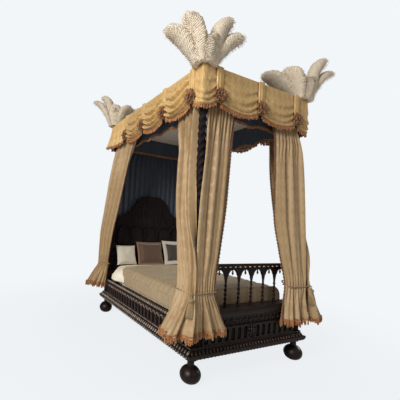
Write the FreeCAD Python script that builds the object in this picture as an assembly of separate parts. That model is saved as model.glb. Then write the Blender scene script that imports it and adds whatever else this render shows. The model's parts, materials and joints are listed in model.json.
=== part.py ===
import FreeCAD, Part
import math
import os

from FreeCAD import Vector

os.makedirs("parts", exist_ok=True)

# Four-poster canopy bed. Millimetres, +X to the right of the bed, +Y towards its head, +Z up,
# origin on the floor below the middle of the bed.

# Bedstead, over the faces of the post blocks
bed_width = 1500.0
bed_length = 2300.0

# Turned bun feet
foot_height = 220.0
foot_ball_diameter = 195.0
foot_ball_rise = 84.0
foot_flat_diameter = 90.0
foot_neck_diameter = 64.0
foot_neck_height = 54.0
foot_collar_diameter = 108.0
foot_collar_height = 14.0
foot_outset = 25.0

# Posts: square block, twisted shaft, square rail block, twisted shaft, square cap block
post_block = 120.0
post_block_top = 660.0
post_shaft_width = 62.0
post_twist_pitch = 300.0
post_twist_steps = 10
post_collar_radius = 54.0
post_collar_height = 22.0
post_rail_block = 96.0
post_rail_block_height = 96.0
post_cap_block = 100.0
post_cap_height = 190.0
hook_peg_radius = 6.0
foot_peg_reach = 92.0
head_peg_reach = 104.0
peg_end_gap = 12.0

# Rails, their carved facings and mouldings
rail_bottom = 235.0
rail_thickness = 40.0
side_rail_top = 490.0
foot_rail_top = 560.0
head_rail_top = 490.0
tenon_length = 45.0
tenon_thickness = 20.0
tenon_shoulder = 40.0
tenon_clearance = 0.5
frieze_thickness = 25.0
reed_depth = 9.0
side_reed_pitch = 60.0
foot_reed_pitch = 60.0
roundel_radius = 52.0
roundel_rise = 14.0
plinth_height = 95.0
plinth_reach = 55.0
plinth_foot_reach = 30.0
plinth_top_reach = 14.0
plinth_lower_band = 40.0
plinth_upper_band = 22.0
plinth_fillet = 10.0
capping_height = 35.0
capping_overhang = 15.0

# Footboard with its arcade of twisted spindles
footboard_setback = 40.0
footboard_thickness = 60.0
footboard_lower_height = 84.0
footboard_lower_overhang = 10.0
footboard_top_height = 40.0
footboard_top_edge = 1065.0
footboard_bays = 7
arcade_thickness = 28.0
arcade_height = 84.0
arch_rise = 62.0
arch_pier = 46.0
spindle_width = 26.0
spindle_twist_pitch = 120.0
spindle_end_radius = 20.0
spindle_end_height = 26.0

# Headboard
headboard_thickness = 40.0
headboard_shoulder = 1420.0
headboard_crown = 1880.0
headboard_crest_foot = 90.0
headboard_moulding = 14.0
crest_thickness = 32.0
crest_hip_inset = 284.0
crest_hip_rise = 155.0
crest_round_inset = 391.0
crest_round_drop = 52.0
crest_hollow_inset = 126.0
crest_hollow_rise = 41.0

# Mattress support and bedding
ledger_width = 30.0
ledger_height = 40.0
ledger_top = 440.0
slat_count = 13
slat_width = 80.0
slat_thickness = 20.0
mattress_side_gap = 10.0
mattress_side = 180.0
mattress_crown = 125.0
mattress_shoulder = 110.0
mattress_foot_gap = 95.0
mattress_head_gap = 90.0
coverlet_thickness = 20.0
coverlet_head_gap = 400.0
coverlet_hem_gap = 12.0
bedding_clearance = 0.3
pillow_tilt = 20.0
pillow_gap = 6.0
pillow_settling_steps = 8
pillow_sections = 8
pillow_seam_share = 0.16
pillow_draw_in = 0.06
pillow_row_inset = 8.0
pillow_back_gap = 20.0
cream_pillow_width = 350.0
cream_pillow_height = 340.0
cream_pillow_thickness = 130.0
brown_pillow_width = 480.0
brown_pillow_height = 390.0
brown_pillow_thickness = 150.0
grey_cushion_height = 420.0
grey_cushion_thickness = 140.0

# Tester, rods and rings
tester_bottom = 2840.0
tester_height = 150.0
tester_rail_thickness = 40.0
ceiling_thickness = 12.0
rod_radius = 9.0
rod_drop = 95.0
ring_bore = 20.0
ring_wire = 3.0
ring_spacing = 62.0
hanging_clearance = 0.3

# Valance: flat cloth behind, swags caught up under rosettes in front
valance_cloth = 8.0
valance_cloth_drop = 350.0
swag_folds = 4
swag_stations = 8
swag_lip = 5.0
swag_hold = 10.0
swag_end_top = 2972.0
swag_end_bottom = 2636.0
swag_middle_top = 2935.0
swag_middle_bottom = 2588.0
swag_end_depth = 9.0
swag_middle_depth = 30.0
swag_side_count = 3
swag_side_pitch = 527.0
swag_foot_count = 2
swag_foot_pitch = 570.0
side_corner_length = 158.0
fringe_drop = 46.0
fringe_thickness = 6.0
pleat_pitch = 64.0
pleat_depth = 16.0
pleat_bottom = 2610.0
rosette_radius = 58.0
rosette_rise = 34.0
rosette_stand = 20.0
rosette_stem_radius = 22.0
rosette_height = 2705.0

# Lining inside the canopy
inner_valance_cloth = 6.0
inner_valance_inset = 16.0
inner_valance_drop = 290.0
inner_valance_head_drop = 250.0
drape_cloth = 6.0
drape_folds = 15
drape_depth = 9.0
drape_bottom = 520.0

# Curtains, drawn in by cords at the posts
curtain_cloth = 10.0
curtain_hem = 460.0
curtain_fringe = 44.0
curtain_high_level = 2300.0
curtain_middle_level = 1600.0
curtain_low_level = 1200.0
curtain_skirt_level = 650.0
tie_share = 0.626
head_tie_height = 775.0
tie_cord_radius = 8.0
foot_curtain_pleats = 5
head_curtain_pleats = 8
rod_end_gap = 15.0
foot_curtain_spread = 375.0
side_curtain_spread = 325.0
head_curtain_spread = 690.0
tassel_cord_radius = 4.0
tassel_cord_length = 60.0
tassel_knob_radius = 22.0
tassel_skirt_radius = 27.0
tassel_skirt_length = 110.0

# Ostrich plumes in turned cups
cup_height = 40.0
cup_foot_radius = 34.0
cup_waist_radius = 24.0
cup_rim_radius = 68.0
plume_sections = 9
plume_outer_feathers = 5
plume_base_ring = 46.0
plume_base_room = 18.0
plume_core_growth = 0.25
plume_thickness_share = 0.4
plume_fill = 0.9

# Places worked out from the sizes
half_width = bed_width / 2
half_length = bed_length / 2
post_x = half_width - post_block / 2
post_y = half_length - post_block / 2
inner_x = post_x - post_block / 2
inner_y = post_y - post_block / 2
plinth_top = foot_height + plinth_height
rail_outer_x = half_width - frieze_thickness
rail_outer_y = half_length - frieze_thickness
rail_inner_x = rail_outer_x - rail_thickness
capping_top = side_rail_top + capping_height
footboard_lower_top = foot_rail_top + footboard_lower_height
arcade_top = footboard_top_edge - footboard_top_height
arcade_bottom = arcade_top - arcade_height
footboard_pitch = 2 * inner_x / footboard_bays
rail_block_bottom = footboard_top_edge - footboard_top_height / 2 - post_rail_block_height / 2
rail_block_top = rail_block_bottom + post_rail_block_height
cap_bottom = tester_bottom - post_cap_height
tester_top = tester_bottom + tester_height
tester_inner_x = half_width - tester_rail_thickness
tester_inner_y = half_length - tester_rail_thickness
rod_height = tester_bottom - rod_drop
ring_height = rod_height + rod_radius + hanging_clearance - ring_bore
curtain_top = ring_height - ring_bore - 2 * ring_wire - hanging_clearance
headboard_y = post_y - headboard_thickness / 2
footboard_y = post_y - footboard_setback
slat_top = ledger_top + slat_thickness
mattress_bottom = slat_top
mattress_edge = mattress_bottom + mattress_side
mattress_top = mattress_edge + mattress_crown
mattress_width = 2 * (rail_inner_x - mattress_side_gap)
mattress_foot = -(footboard_y - footboard_thickness / 2) + mattress_foot_gap
mattress_head = headboard_y - mattress_head_gap
mattress_length = mattress_head - mattress_foot
pillow_row = mattress_width - 2 * pillow_row_inset
grey_cushion_width = pillow_row - cream_pillow_width - brown_pillow_width - 2 * pillow_gap
tie_height = footboard_lower_top + tie_share * (arcade_bottom - footboard_lower_top)
swag_out = valance_cloth
valance_bottom = tester_top - valance_cloth_drop


def box(x0, x1, y0, y1, z0, z1):
    return Part.makeBox(x1 - x0, y1 - y0, z1 - z0, Vector(x0, y0, z0))


def mirror_x(shape):
    return shape.mirror(Vector(0, 0, 0), Vector(1, 0, 0))


def mirror_y(shape):
    return shape.mirror(Vector(0, 0, 0), Vector(0, 1, 0))


def line(a, b):
    return Part.makeLine(a, b)


def arc(a, middle, b):
    return Part.Arc(a, middle, b).toShape()


def turned(points, x, y):
    """A solid of revolution about the upright line at x, y; points are (radius, height)."""
    outline = [Vector(0, 0, points[0][1])]
    outline += [Vector(radius, 0, height) for radius, height in points]
    outline.append(Vector(0, 0, points[-1][1]))
    outline.append(outline[0])
    face = Part.Face(Part.makePolygon(outline))
    solid = face.revolve(Vector(0, 0, 0), Vector(0, 0, 1), 360)
    solid.translate(Vector(x, y, 0))
    return solid


def fused(shapes):
    return shapes[0].multiFuse(shapes[1:]).removeSplitter()


def save(name, *shapes):
    shape = shapes[0] if len(shapes) == 1 else Part.makeCompound(list(shapes))
    shape.exportStep("parts/" + name + ".step")


def at_corners(shape):
    """Four copies of a shape built at the +X, +Y corner, in the order of corner_names."""
    foot = mirror_y(shape)
    return [mirror_x(foot), foot, mirror_x(shape), shape]


# Feet and posts


def bun_foot():
    ball = foot_ball_diameter / 2
    neck = foot_neck_diameter / 2
    collar_bottom = foot_height - foot_collar_height
    neck_bottom = collar_bottom - foot_neck_height
    flat = Vector(foot_flat_diameter / 2, 0, 0)
    widest = Vector(ball, 0, foot_ball_rise)
    low = Vector(ball * 0.9, 0, foot_ball_rise * 0.42)
    shoulder = Vector((ball + neck) * 0.58, 0, foot_ball_rise + (neck_bottom - foot_ball_rise) * 0.62)
    neck_low = Vector(neck, 0, neck_bottom)
    neck_high = Vector(neck, 0, collar_bottom)
    collar_low = Vector(foot_collar_diameter / 2, 0, collar_bottom)
    collar_high = Vector(foot_collar_diameter / 2, 0, foot_height)
    edges = [
        line(Vector(0, 0, 0), flat),
        arc(flat, low, widest),
        arc(widest, shoulder, neck_low),
        line(neck_low, neck_high),
        line(neck_high, collar_low),
        line(collar_low, collar_high),
        line(collar_high, Vector(0, 0, foot_height)),
        line(Vector(0, 0, foot_height), Vector(0, 0, 0)),
    ]
    solid = Part.Face(Part.Wire(edges)).revolve(Vector(0, 0, 0), Vector(0, 0, 1), 360)
    solid.translate(Vector(post_x + foot_outset, post_y + foot_outset, 0))
    return solid


def twisted_shaft(width, bottom, top, pitch, x, y):
    """A square shaft that turns about its own axis once in each pitch."""
    turn = 360.0 * (top - bottom) / pitch
    steps = max(2, math.ceil(post_twist_steps * abs(turn) / 360.0))
    wires = []
    for step in range(steps + 1):
        share = step / steps
        height = bottom + (top - bottom) * share
        corners = []
        for corner in range(5):
            angle = math.radians(45.0 + 90.0 * corner + turn * share)
            reach = width / math.sqrt(2)
            corners.append(Vector(x + reach * math.cos(angle), y + reach * math.sin(angle), height))
        wires.append(Part.makePolygon(corners))
    return Part.makeLoft(wires, True, True)


def collar(bottom, radius, height, x, y):
    waist = radius - height / 2
    profile = [(waist, bottom), (radius, bottom + height / 2), (waist, bottom + height)]
    return turned(profile, x, y)


def tenon_slot(rail_top, along_x):
    """The mortise that a rail's tenon fills in the post at the +X, +Y corner."""
    low = rail_bottom + tenon_shoulder - tenon_clearance
    high = rail_top - tenon_shoulder + tenon_clearance
    half = tenon_thickness / 2 + tenon_clearance
    deep = tenon_length + tenon_clearance
    if along_x:
        middle = rail_outer_y - rail_thickness / 2
        return box(inner_x, inner_x + deep, middle - half, middle + half, low, high)
    middle = rail_outer_x - rail_thickness / 2
    return box(middle - half, middle + half, inner_y, inner_y + deep, low, high)


def post(end_rail_top, peg_height, peg_reach, peg_direction):
    half = post_block / 2
    block = box(post_x - half, post_x + half, post_y - half, post_y + half, foot_height, post_block_top)
    block = block.cut(tenon_slot(side_rail_top, False)).cut(tenon_slot(end_rail_top, True))
    rail_half = post_rail_block / 2
    rail_block = box(post_x - rail_half, post_x + rail_half, post_y - rail_half, post_y + rail_half,
                     rail_block_bottom, rail_block_top)
    cap_half = post_cap_block / 2
    cap = box(post_x - cap_half, post_x + cap_half, post_y - cap_half, post_y + cap_half,
              cap_bottom, tester_bottom)
    lower = twisted_shaft(post_shaft_width, post_block_top + post_collar_height,
                          rail_block_bottom - post_collar_height, post_twist_pitch, post_x, post_y)
    upper = twisted_shaft(post_shaft_width, rail_block_top + post_collar_height,
                          cap_bottom - post_collar_height, post_twist_pitch, post_x, post_y)
    collar_bottoms = [post_block_top, rail_block_bottom - post_collar_height, rail_block_top,
                      cap_bottom - post_collar_height]
    collars = [collar(bottom, post_collar_radius, post_collar_height, post_x, post_y)
               for bottom in collar_bottoms]
    peg_top = peg_height - tie_cord_radius - hanging_clearance
    peg = Part.makeCylinder(hook_peg_radius, peg_reach,
                            Vector(post_x, post_y, peg_top - hook_peg_radius), peg_direction)
    return fused([block, lower, rail_block, upper, cap, peg] + collars)


# Rails, facings and mouldings


def side_rail():
    """The board between the right-hand posts, with a tenon at each end."""
    board = box(rail_inner_x, rail_outer_x, -inner_y, inner_y, rail_bottom, side_rail_top)
    middle = rail_outer_x - rail_thickness / 2
    half = tenon_thickness / 2
    reach = inner_y + tenon_length
    tenon = box(middle - half, middle + half, -reach, reach,
                rail_bottom + tenon_shoulder, side_rail_top - tenon_shoulder)
    return fused([board, tenon])


def end_rail(rail_top):
    """The board between the head posts; the foot's is its mirror image."""
    board = box(-inner_x, inner_x, rail_outer_y - rail_thickness, rail_outer_y, rail_bottom, rail_top)
    middle = rail_outer_y - rail_thickness / 2
    half = tenon_thickness / 2
    reach = inner_x + tenon_length
    tenon = box(-reach, reach, middle - half, middle + half,
                rail_bottom + tenon_shoulder, rail_top - tenon_shoulder)
    return fused([board, tenon])


def reeded_board(length, pitch, back, front, depth, bottom, top):
    """An upright board along Y whose +X face is a row of rounded reeds or pleats, middle at Y zero."""
    count = max(2, round(length / pitch))
    step = length / count
    valley = front - depth
    edges = []
    for k in range(count):
        start = -length / 2 + k * step
        edges.append(arc(Vector(valley, start, bottom), Vector(front, start + step / 2, bottom),
                         Vector(valley, start + step, bottom)))
    low = -length / 2
    high = length / 2
    edges.append(line(Vector(valley, high, bottom), Vector(back, high, bottom)))
    edges.append(line(Vector(back, high, bottom), Vector(back, low, bottom)))
    edges.append(line(Vector(back, low, bottom), Vector(valley, low, bottom)))
    return Part.Face(Part.Wire(edges)).extrude(Vector(0, 0, top - bottom))


def turn_to_head(shape):
    """Turn a piece made for the +X side so that it faces +Y."""
    turned_shape = shape.copy()
    turned_shape.rotate(Vector(0, 0, 0), Vector(0, 0, 1), 90)
    return turned_shape


def roundel(face, height):
    """A carved boss on the middle of the +X facing board."""
    rim = Vector(face, 0, height)
    disc = Part.makeCylinder(roundel_radius, roundel_rise / 2, rim, Vector(1, 0, 0))
    dome = Part.makeCone(roundel_radius * 0.8, roundel_radius * 0.4, roundel_rise / 2,
                         Vector(face + roundel_rise / 2, 0, height), Vector(1, 0, 0))
    return disc.fuse(dome)


def frieze(length, pitch, half_span, top):
    """A reeded facing board with a roundel in the middle, for the +X side."""
    board = reeded_board(length, pitch, half_span - frieze_thickness, half_span, reed_depth,
                         rail_bottom, top)
    boss_height = (plinth_top + top) / 2
    boss = roundel(half_span - reed_depth, boss_height)
    return fused([board, boss])


def plinth_profile(half_span):
    """The moulding's outline at Y zero: a foot, a swelling band, a hollow and a fillet."""
    low = foot_height
    high = plinth_top
    band = low + plinth_lower_band
    hollow = high - plinth_upper_band
    inner = half_span
    points = [Vector(inner, 0, low), Vector(inner + plinth_foot_reach, 0, low)]
    swell_end = Vector(inner + plinth_reach, 0, band)
    swell_middle = Vector(inner + plinth_foot_reach + (plinth_reach - plinth_foot_reach) * 0.8, 0,
                          low + plinth_lower_band * 0.45)
    hollow_bottom = band + plinth_fillet
    hollow_start = Vector(inner + plinth_reach, 0, hollow_bottom)
    hollow_end = Vector(inner + plinth_top_reach, 0, hollow)
    hollow_middle = Vector(inner + plinth_top_reach + (plinth_reach - plinth_top_reach) * 0.36, 0,
                           hollow_bottom + (hollow - hollow_bottom) * 0.46)
    top_outer = Vector(inner + plinth_top_reach, 0, high)
    top_inner = Vector(inner, 0, high)
    edges = [
        line(points[0], points[1]),
        arc(points[1], swell_middle, swell_end),
        line(swell_end, hollow_start),
        arc(hollow_start, hollow_middle, hollow_end),
        line(hollow_end, top_outer),
        line(top_outer, top_inner),
        line(top_inner, points[0]),
    ]
    return Part.Wire(edges)


def plinth_side(half_span, half_run):
    """One mitred length of the moulding, on the +X side."""
    reach = half_run + plinth_reach
    strip = Part.Face(plinth_profile(half_span)).extrude(Vector(0, 2 * reach, 0))
    strip.translate(Vector(0, -reach, 0))
    mitre = [
        Vector(half_span, -half_run, foot_height),
        Vector(half_span + plinth_reach, -reach, foot_height),
        Vector(half_span + plinth_reach, reach, foot_height),
        Vector(half_span, half_run, foot_height),
        Vector(half_span, -half_run, foot_height),
    ]
    wedge = Part.Face(Part.makePolygon(mitre)).extrude(Vector(0, 0, plinth_height))
    return strip.common(wedge)


def capping():
    """The moulding along the top of the right-hand rail and its facing."""
    outer = half_width + capping_overhang
    nose = capping_height / 2
    low = side_rail_top
    edges = [
        line(Vector(rail_inner_x, 0, low), Vector(half_width, 0, low)),
        arc(Vector(half_width, 0, low), Vector(outer, 0, low + nose), Vector(half_width, 0, capping_top)),
        line(Vector(half_width, 0, capping_top), Vector(rail_inner_x, 0, capping_top)),
        line(Vector(rail_inner_x, 0, capping_top), Vector(rail_inner_x, 0, low)),
    ]
    strip = Part.Face(Part.Wire(edges)).extrude(Vector(0, 2 * inner_y, 0))
    strip.translate(Vector(0, -inner_y, 0))
    return strip


# Footboard, made at the head end and mirrored to the foot


def footboard_lower_rail():
    front = half_length + footboard_lower_overhang
    back = footboard_y - footboard_thickness / 2
    middle = (foot_rail_top + footboard_lower_top) / 2
    edges = [
        line(Vector(0, back, foot_rail_top), Vector(0, half_length, foot_rail_top)),
        arc(Vector(0, half_length, foot_rail_top), Vector(0, front, middle),
            Vector(0, half_length, footboard_lower_top)),
        line(Vector(0, half_length, footboard_lower_top), Vector(0, back, footboard_lower_top)),
        line(Vector(0, back, footboard_lower_top), Vector(0, back, foot_rail_top)),
    ]
    strip = Part.Face(Part.Wire(edges)).extrude(Vector(2 * inner_x, 0, 0))
    strip.translate(Vector(-inner_x, 0, 0))
    return strip


def footboard_top_rail():
    reach = post_x - post_rail_block / 2
    low = footboard_y - footboard_thickness / 2
    high = footboard_y + footboard_thickness / 2
    shoulder = footboard_top_edge - footboard_top_height / 3
    edges = [
        line(Vector(0, low, arcade_top), Vector(0, high, arcade_top)),
        line(Vector(0, high, arcade_top), Vector(0, high, shoulder)),
        arc(Vector(0, high, shoulder), Vector(0, footboard_y, footboard_top_edge),
            Vector(0, low, shoulder)),
        line(Vector(0, low, shoulder), Vector(0, low, arcade_top)),
    ]
    strip = Part.Face(Part.Wire(edges)).extrude(Vector(2 * reach, 0, 0))
    strip.translate(Vector(-reach, 0, 0))
    return strip


def footboard_arcade():
    """A board cut into arches, whose piers stand on the spindles."""
    back = footboard_y - arcade_thickness / 2
    reach = post_x - post_rail_block / 2
    ground = arcade_bottom
    edges = []
    here = Vector(-reach, back, ground)
    for bay in range(footboard_bays):
        left = -inner_x + bay * footboard_pitch + arch_pier / 2
        right = left + footboard_pitch - arch_pier
        spring = Vector(left, back, ground)
        crown = Vector((left + right) / 2, back, ground + arch_rise)
        landing = Vector(right, back, ground)
        edges.append(line(here, spring))
        edges.append(arc(spring, crown, landing))
        here = landing
    outline = [here, Vector(reach, back, ground), Vector(reach, back, arcade_top),
               Vector(-reach, back, arcade_top), Vector(-reach, back, ground)]
    edges += [line(a, b) for a, b in zip(outline, outline[1:])]
    return Part.Face(Part.Wire(edges)).extrude(Vector(0, arcade_thickness, 0))


def footboard_spindle(x):
    low = footboard_lower_top
    twist = twisted_shaft(spindle_width, low + spindle_end_height, arcade_bottom - spindle_end_height,
                          spindle_twist_pitch, x, footboard_y)
    base = collar(low, spindle_end_radius, spindle_end_height, x, footboard_y)
    capital = collar(arcade_bottom - spindle_end_height, spindle_end_radius, spindle_end_height,
                     x, footboard_y)
    return fused([base, twist, capital])


# Headboard


def headboard_panel():
    """The panelled board between the head posts, with a blind arcade standing on it."""
    front = headboard_y
    board = box(-inner_x, inner_x, front, front + headboard_thickness, head_rail_top, headboard_shoulder)
    shelf = box(-inner_x, inner_x, front - headboard_moulding, front,
                headboard_shoulder - 3 * headboard_moulding, headboard_shoulder)
    return fused([board, shelf])


def headboard_crest():
    """The arched pediment on the headboard's shoulder, hollow at its hips and round at its crown."""
    front = headboard_y + (headboard_thickness - crest_thickness) / 2
    reach = inner_x
    foot = headboard_shoulder + headboard_crest_foot

    def spot(x, height):
        return Vector(x, front, height)

    crown = spot(0, headboard_crown)
    rounded = spot(reach - crest_round_inset, headboard_crown - crest_round_drop)
    hip = spot(reach - crest_hip_inset, foot + crest_hip_rise)
    hollow = spot(reach - crest_hollow_inset, foot + crest_hollow_rise)
    end = spot(reach, foot)
    right_half = [
        arc(crown, rounded, hip),
        arc(hip, hollow, end),
        line(end, spot(reach, headboard_shoulder)),
    ]
    left_half = [mirror_x(edge) for edge in right_half]
    base = line(spot(reach, headboard_shoulder), spot(-reach, headboard_shoulder))
    outline = Part.Wire(Part.__sortEdges__(right_half + left_half + [base]))
    return Part.Face(outline).extrude(Vector(0, crest_thickness, 0))


# Mattress support and bedding


def ledger():
    return box(rail_inner_x - ledger_width, rail_inner_x, -inner_y, inner_y,
               ledger_top - ledger_height, ledger_top)


def slats():
    run = mattress_length - slat_width
    step = run / (slat_count - 1)
    solids = []
    for k in range(slat_count):
        start = mattress_foot + k * step
        solids.append(box(-rail_inner_x, rail_inner_x, start, start + slat_width,
                          slat_top - slat_thickness, slat_top))
    return solids


def bed_profile(half, edge, low, y):
    """The bed across its width: upright sides from a low edge, round shoulders and a crowned top."""
    inset = half - mattress_shoulder
    level = edge + mattress_shoulder
    bow = mattress_shoulder * (1 - math.sqrt(0.5))
    edges = [
        line(Vector(-half, y, low), Vector(-half, y, edge)),
        arc(Vector(-half, y, edge), Vector(bow - half, y, level - bow), Vector(-inset, y, level)),
        arc(Vector(-inset, y, level), Vector(0, y, edge + mattress_crown), Vector(inset, y, level)),
        arc(Vector(inset, y, level), Vector(half - bow, y, level - bow), Vector(half, y, edge)),
        line(Vector(half, y, edge), Vector(half, y, low)),
        line(Vector(half, y, low), Vector(-half, y, low)),
    ]
    return Part.Face(Part.Wire(edges))


def mattress():
    """A feather mattress with round shoulders and a top that rises to the middle."""
    section = bed_profile(mattress_width / 2, mattress_edge, mattress_bottom, mattress_foot)
    return section.extrude(Vector(0, mattress_length, 0))


def coverlet():
    """A cover over the mattress that hangs down to the capping on both sides and over the foot end."""
    inner = mattress_width / 2 + bedding_clearance
    under = mattress_edge + bedding_clearance
    hem = capping_top + coverlet_hem_gap
    inner_foot = mattress_foot - bedding_clearance
    outer_foot = inner_foot - coverlet_thickness
    head = mattress_head - coverlet_head_gap
    over = bed_profile(inner + coverlet_thickness, under + coverlet_thickness, hem, outer_foot)
    below = bed_profile(inner, under, hem, inner_foot)
    return over.extrude(Vector(0, head - outer_foot, 0)).cut(below.extrude(Vector(0, head - inner_foot, 0)))


def pillow(width, height, thickness):
    """A crowned pillow standing in the XZ plane, its sides drawn in between its corners."""
    wires = []
    for k in range(pillow_sections + 1):
        share = -1 + 2 * k / pillow_sections
        swell = max(pillow_seam_share, math.sqrt(1 - abs(share) ** 3))
        rise = height / 2 * (1 - pillow_draw_in * (1 - share * share))
        bulge = thickness / 2 * swell
        x = width / 2 * share
        top = Vector(x, 0, rise)
        bottom = Vector(x, 0, -rise)
        front = arc(bottom, Vector(x, -bulge, 0), top)
        back = arc(top, Vector(x, bulge, 0), bottom)
        wires.append(Part.Wire([front, back]))
    return Part.makeLoft(wires, True, True)


def standing_pillow(sizes, left, bed):
    """A pillow leaning back on the headboard, from its left edge, let down onto the mattress."""
    shape = pillow(*sizes)
    shape.rotate(Vector(0, 0, 0), Vector(1, 0, 0), -pillow_tilt)
    bounds = shape.optimalBoundingBox(False)
    back = headboard_y - headboard_moulding - pillow_back_gap
    shape.translate(Vector(left + sizes[0] / 2, back - bounds.YMax,
                           mattress_top + bedding_clearance - bounds.ZMin))
    for step in range(pillow_settling_steps):
        gap = shape.distToShape(bed)[0]
        shape.translate(Vector(0, 0, bedding_clearance - gap))
    return shape


# Tester, rods and rings


def tester_frame():
    side = box(tester_inner_x, half_width, -half_length, half_length, tester_bottom, tester_top)
    end = box(-tester_inner_x, tester_inner_x, tester_inner_y, half_length, tester_bottom, tester_top)
    return [side, mirror_x(side), end, mirror_y(end)]


def ceiling():
    return box(-tester_inner_x, tester_inner_x, -tester_inner_y, tester_inner_y,
               tester_bottom, tester_bottom + ceiling_thickness)


def curtain_rods():
    side_reach = post_y - post_cap_block / 2
    foot_reach = post_x - post_cap_block / 2
    side = Part.makeCylinder(rod_radius, 2 * side_reach, Vector(post_x, -side_reach, rod_height),
                             Vector(0, 1, 0))
    foot = Part.makeCylinder(rod_radius, 2 * foot_reach, Vector(-foot_reach, -post_y, rod_height),
                             Vector(1, 0, 0))
    return [side, mirror_x(side), foot]


def rings(start, end):
    """Rings on a rod, from one end of a curtain's head to the other."""
    run = end.sub(start)
    count = max(2, round(run.Length / ring_spacing))
    along = Vector(run).normalize()
    solids = []
    for k in range(count):
        place = start + run * ((k + 0.5) / count)
        solids.append(Part.makeTorus(ring_bore + ring_wire, ring_wire,
                                     Vector(place.x, place.y, ring_height), along))
    return solids


# Canopy cloths


def swag_section(share):
    """The heights of a swag's folds from its top down, at a share of its span, and how far they swell."""
    sag = 4 * share * (1 - share)
    top = swag_end_top + (swag_middle_top - swag_end_top) * sag
    bottom = swag_end_bottom + (swag_middle_bottom - swag_end_bottom) * sag
    depth = swag_end_depth + (swag_middle_depth - swag_end_depth) * sag
    heights = [top + (bottom - top) * fold / swag_folds for fold in range(swag_folds + 1)]
    return heights, depth


def swag_wire(place, along, share):
    """A closed upright outline at one station; place turns (along, out, height) into a point."""
    heights, depth = swag_section(share)
    front = swag_out + swag_lip
    edges = [line(place(along, swag_out, heights[0]), place(along, front, heights[0]))]
    for upper, lower in zip(heights, heights[1:]):
        middle = (upper + 2 * lower) / 3
        edges.append(arc(place(along, front, upper), place(along, front + depth, middle),
                         place(along, front, lower)))
    edges.append(line(place(along, front, heights[-1]), place(along, swag_out, heights[-1])))
    edges.append(line(place(along, swag_out, heights[-1]), place(along, swag_out, heights[0])))
    return Part.Wire(edges)


def swag_spots(start, end, whole):
    """Stations along a swag as (distance, share); a half swag ends at its lowest point."""
    last = 1.0 if whole else 0.5
    spots = []
    for k in range(swag_stations + 1):
        part = k / swag_stations
        spots.append((start + (end - start) * part, last * part))
    return spots


def swag(place, start, end, whole=True):
    wires = [swag_wire(place, along, share) for along, share in swag_spots(start, end, whole)]
    return Part.makeLoft(wires, True, True)


def fringe_strip(place, start, end, whole=True):
    """The fringe under a swag, hanging from its lower edge."""
    spots = swag_spots(start, end, whole)
    upper = [place(along, swag_out, swag_section(share)[0][-1]) for along, share in spots]
    lower = [point - Vector(0, 0, fringe_drop) for point in reversed(upper)]
    outline = upper + lower + [upper[0]]
    outward = place(0, fringe_thickness, 0) - place(0, 0, 0)
    return Part.Face(Part.makePolygon(outline)).extrude(outward)


def on_side(along, out, height):
    """A point on the canopy's +X side, with the foot at positive distances."""
    return Vector(half_width + out, along, height)


def on_foot(along, out, height):
    """A point on the canopy's end, built at +Y and mirrored to the foot."""
    return Vector(along, half_length + out, height)


side_rosettes = [half_length - side_corner_length + valance_cloth - k * swag_side_pitch
                 for k in range(swag_side_count + 1)]
foot_rosettes = [(k - swag_foot_count / 2) * swag_foot_pitch for k in range(swag_foot_count + 1)]


def between(rosettes):
    """The spans of the swags between neighbouring rosettes."""
    hold = rosette_stem_radius + swag_hold
    ordered = sorted(rosettes)
    return [(a + hold, b - hold) for a, b in zip(ordered, ordered[1:])]


def corner_spans():
    """The spans of a corner swag: along the side and along the foot, each ending at the corner."""
    hold = rosette_stem_radius + swag_hold
    side = (max(side_rosettes) + hold, half_length + valance_cloth)
    foot = (max(foot_rosettes) + hold, half_width + valance_cloth)
    return side, foot


def corner_turn(wire):
    """A quarter turn of a corner outline about the corner of the flat cloths."""
    corner = Vector(half_width + valance_cloth, half_length + valance_cloth, 0)
    return Part.Face(wire).revolve(corner, Vector(0, 0, 1), 90)


def corner_swag():
    side, foot = corner_spans()
    turn = corner_turn(swag_wire(on_side, side[1], 0.5))
    return [swag(on_side, side[0], side[1], False), turn, swag(on_foot, foot[0], foot[1], False)]


def corner_fringe():
    side, foot = corner_spans()
    top = swag_section(0.5)[0][-1]
    outline = [on_side(side[1], swag_out, top), on_side(side[1], swag_out + fringe_thickness, top),
               on_side(side[1], swag_out + fringe_thickness, top - fringe_drop),
               on_side(side[1], swag_out, top - fringe_drop), on_side(side[1], swag_out, top)]
    turn = corner_turn(Part.makePolygon(outline))
    return [fringe_strip(on_side, side[0], side[1], False), turn,
            fringe_strip(on_foot, foot[0], foot[1], False)]


def side_valance():
    """The +X side's flat cloth, its swags and the pleated length beside the head; foot at +Y."""
    reach = half_length + valance_cloth
    cloth = box(half_width, half_width + valance_cloth, -reach, reach, valance_bottom, tester_top)
    solids = [cloth] + [swag(on_side, a, b) for a, b in between(side_rosettes)]
    run = min(side_rosettes) - rosette_stem_radius - swag_hold + reach
    front = half_width + valance_cloth + pleat_depth + swag_lip
    pleats = reeded_board(run, pleat_pitch, half_width + valance_cloth, front, pleat_depth,
                          pleat_bottom, tester_top)
    pleats.translate(Vector(0, -reach + run / 2, 0))
    solids.append(pleats)
    return solids


def foot_valance():
    cloth = box(-half_width, half_width, half_length, half_length + valance_cloth,
                valance_bottom, tester_top)
    return [cloth] + [swag(on_foot, a, b) for a, b in between(foot_rosettes)]


def head_valance():
    cloth = box(-half_width, half_width, half_length, half_length + valance_cloth,
                valance_bottom, tester_top)
    front = half_length + valance_cloth + pleat_depth + swag_lip
    pleats = reeded_board(2 * half_width, pleat_pitch, half_length + valance_cloth, front, pleat_depth,
                          pleat_bottom, tester_top)
    return [cloth, turn_to_head(pleats)]


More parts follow.
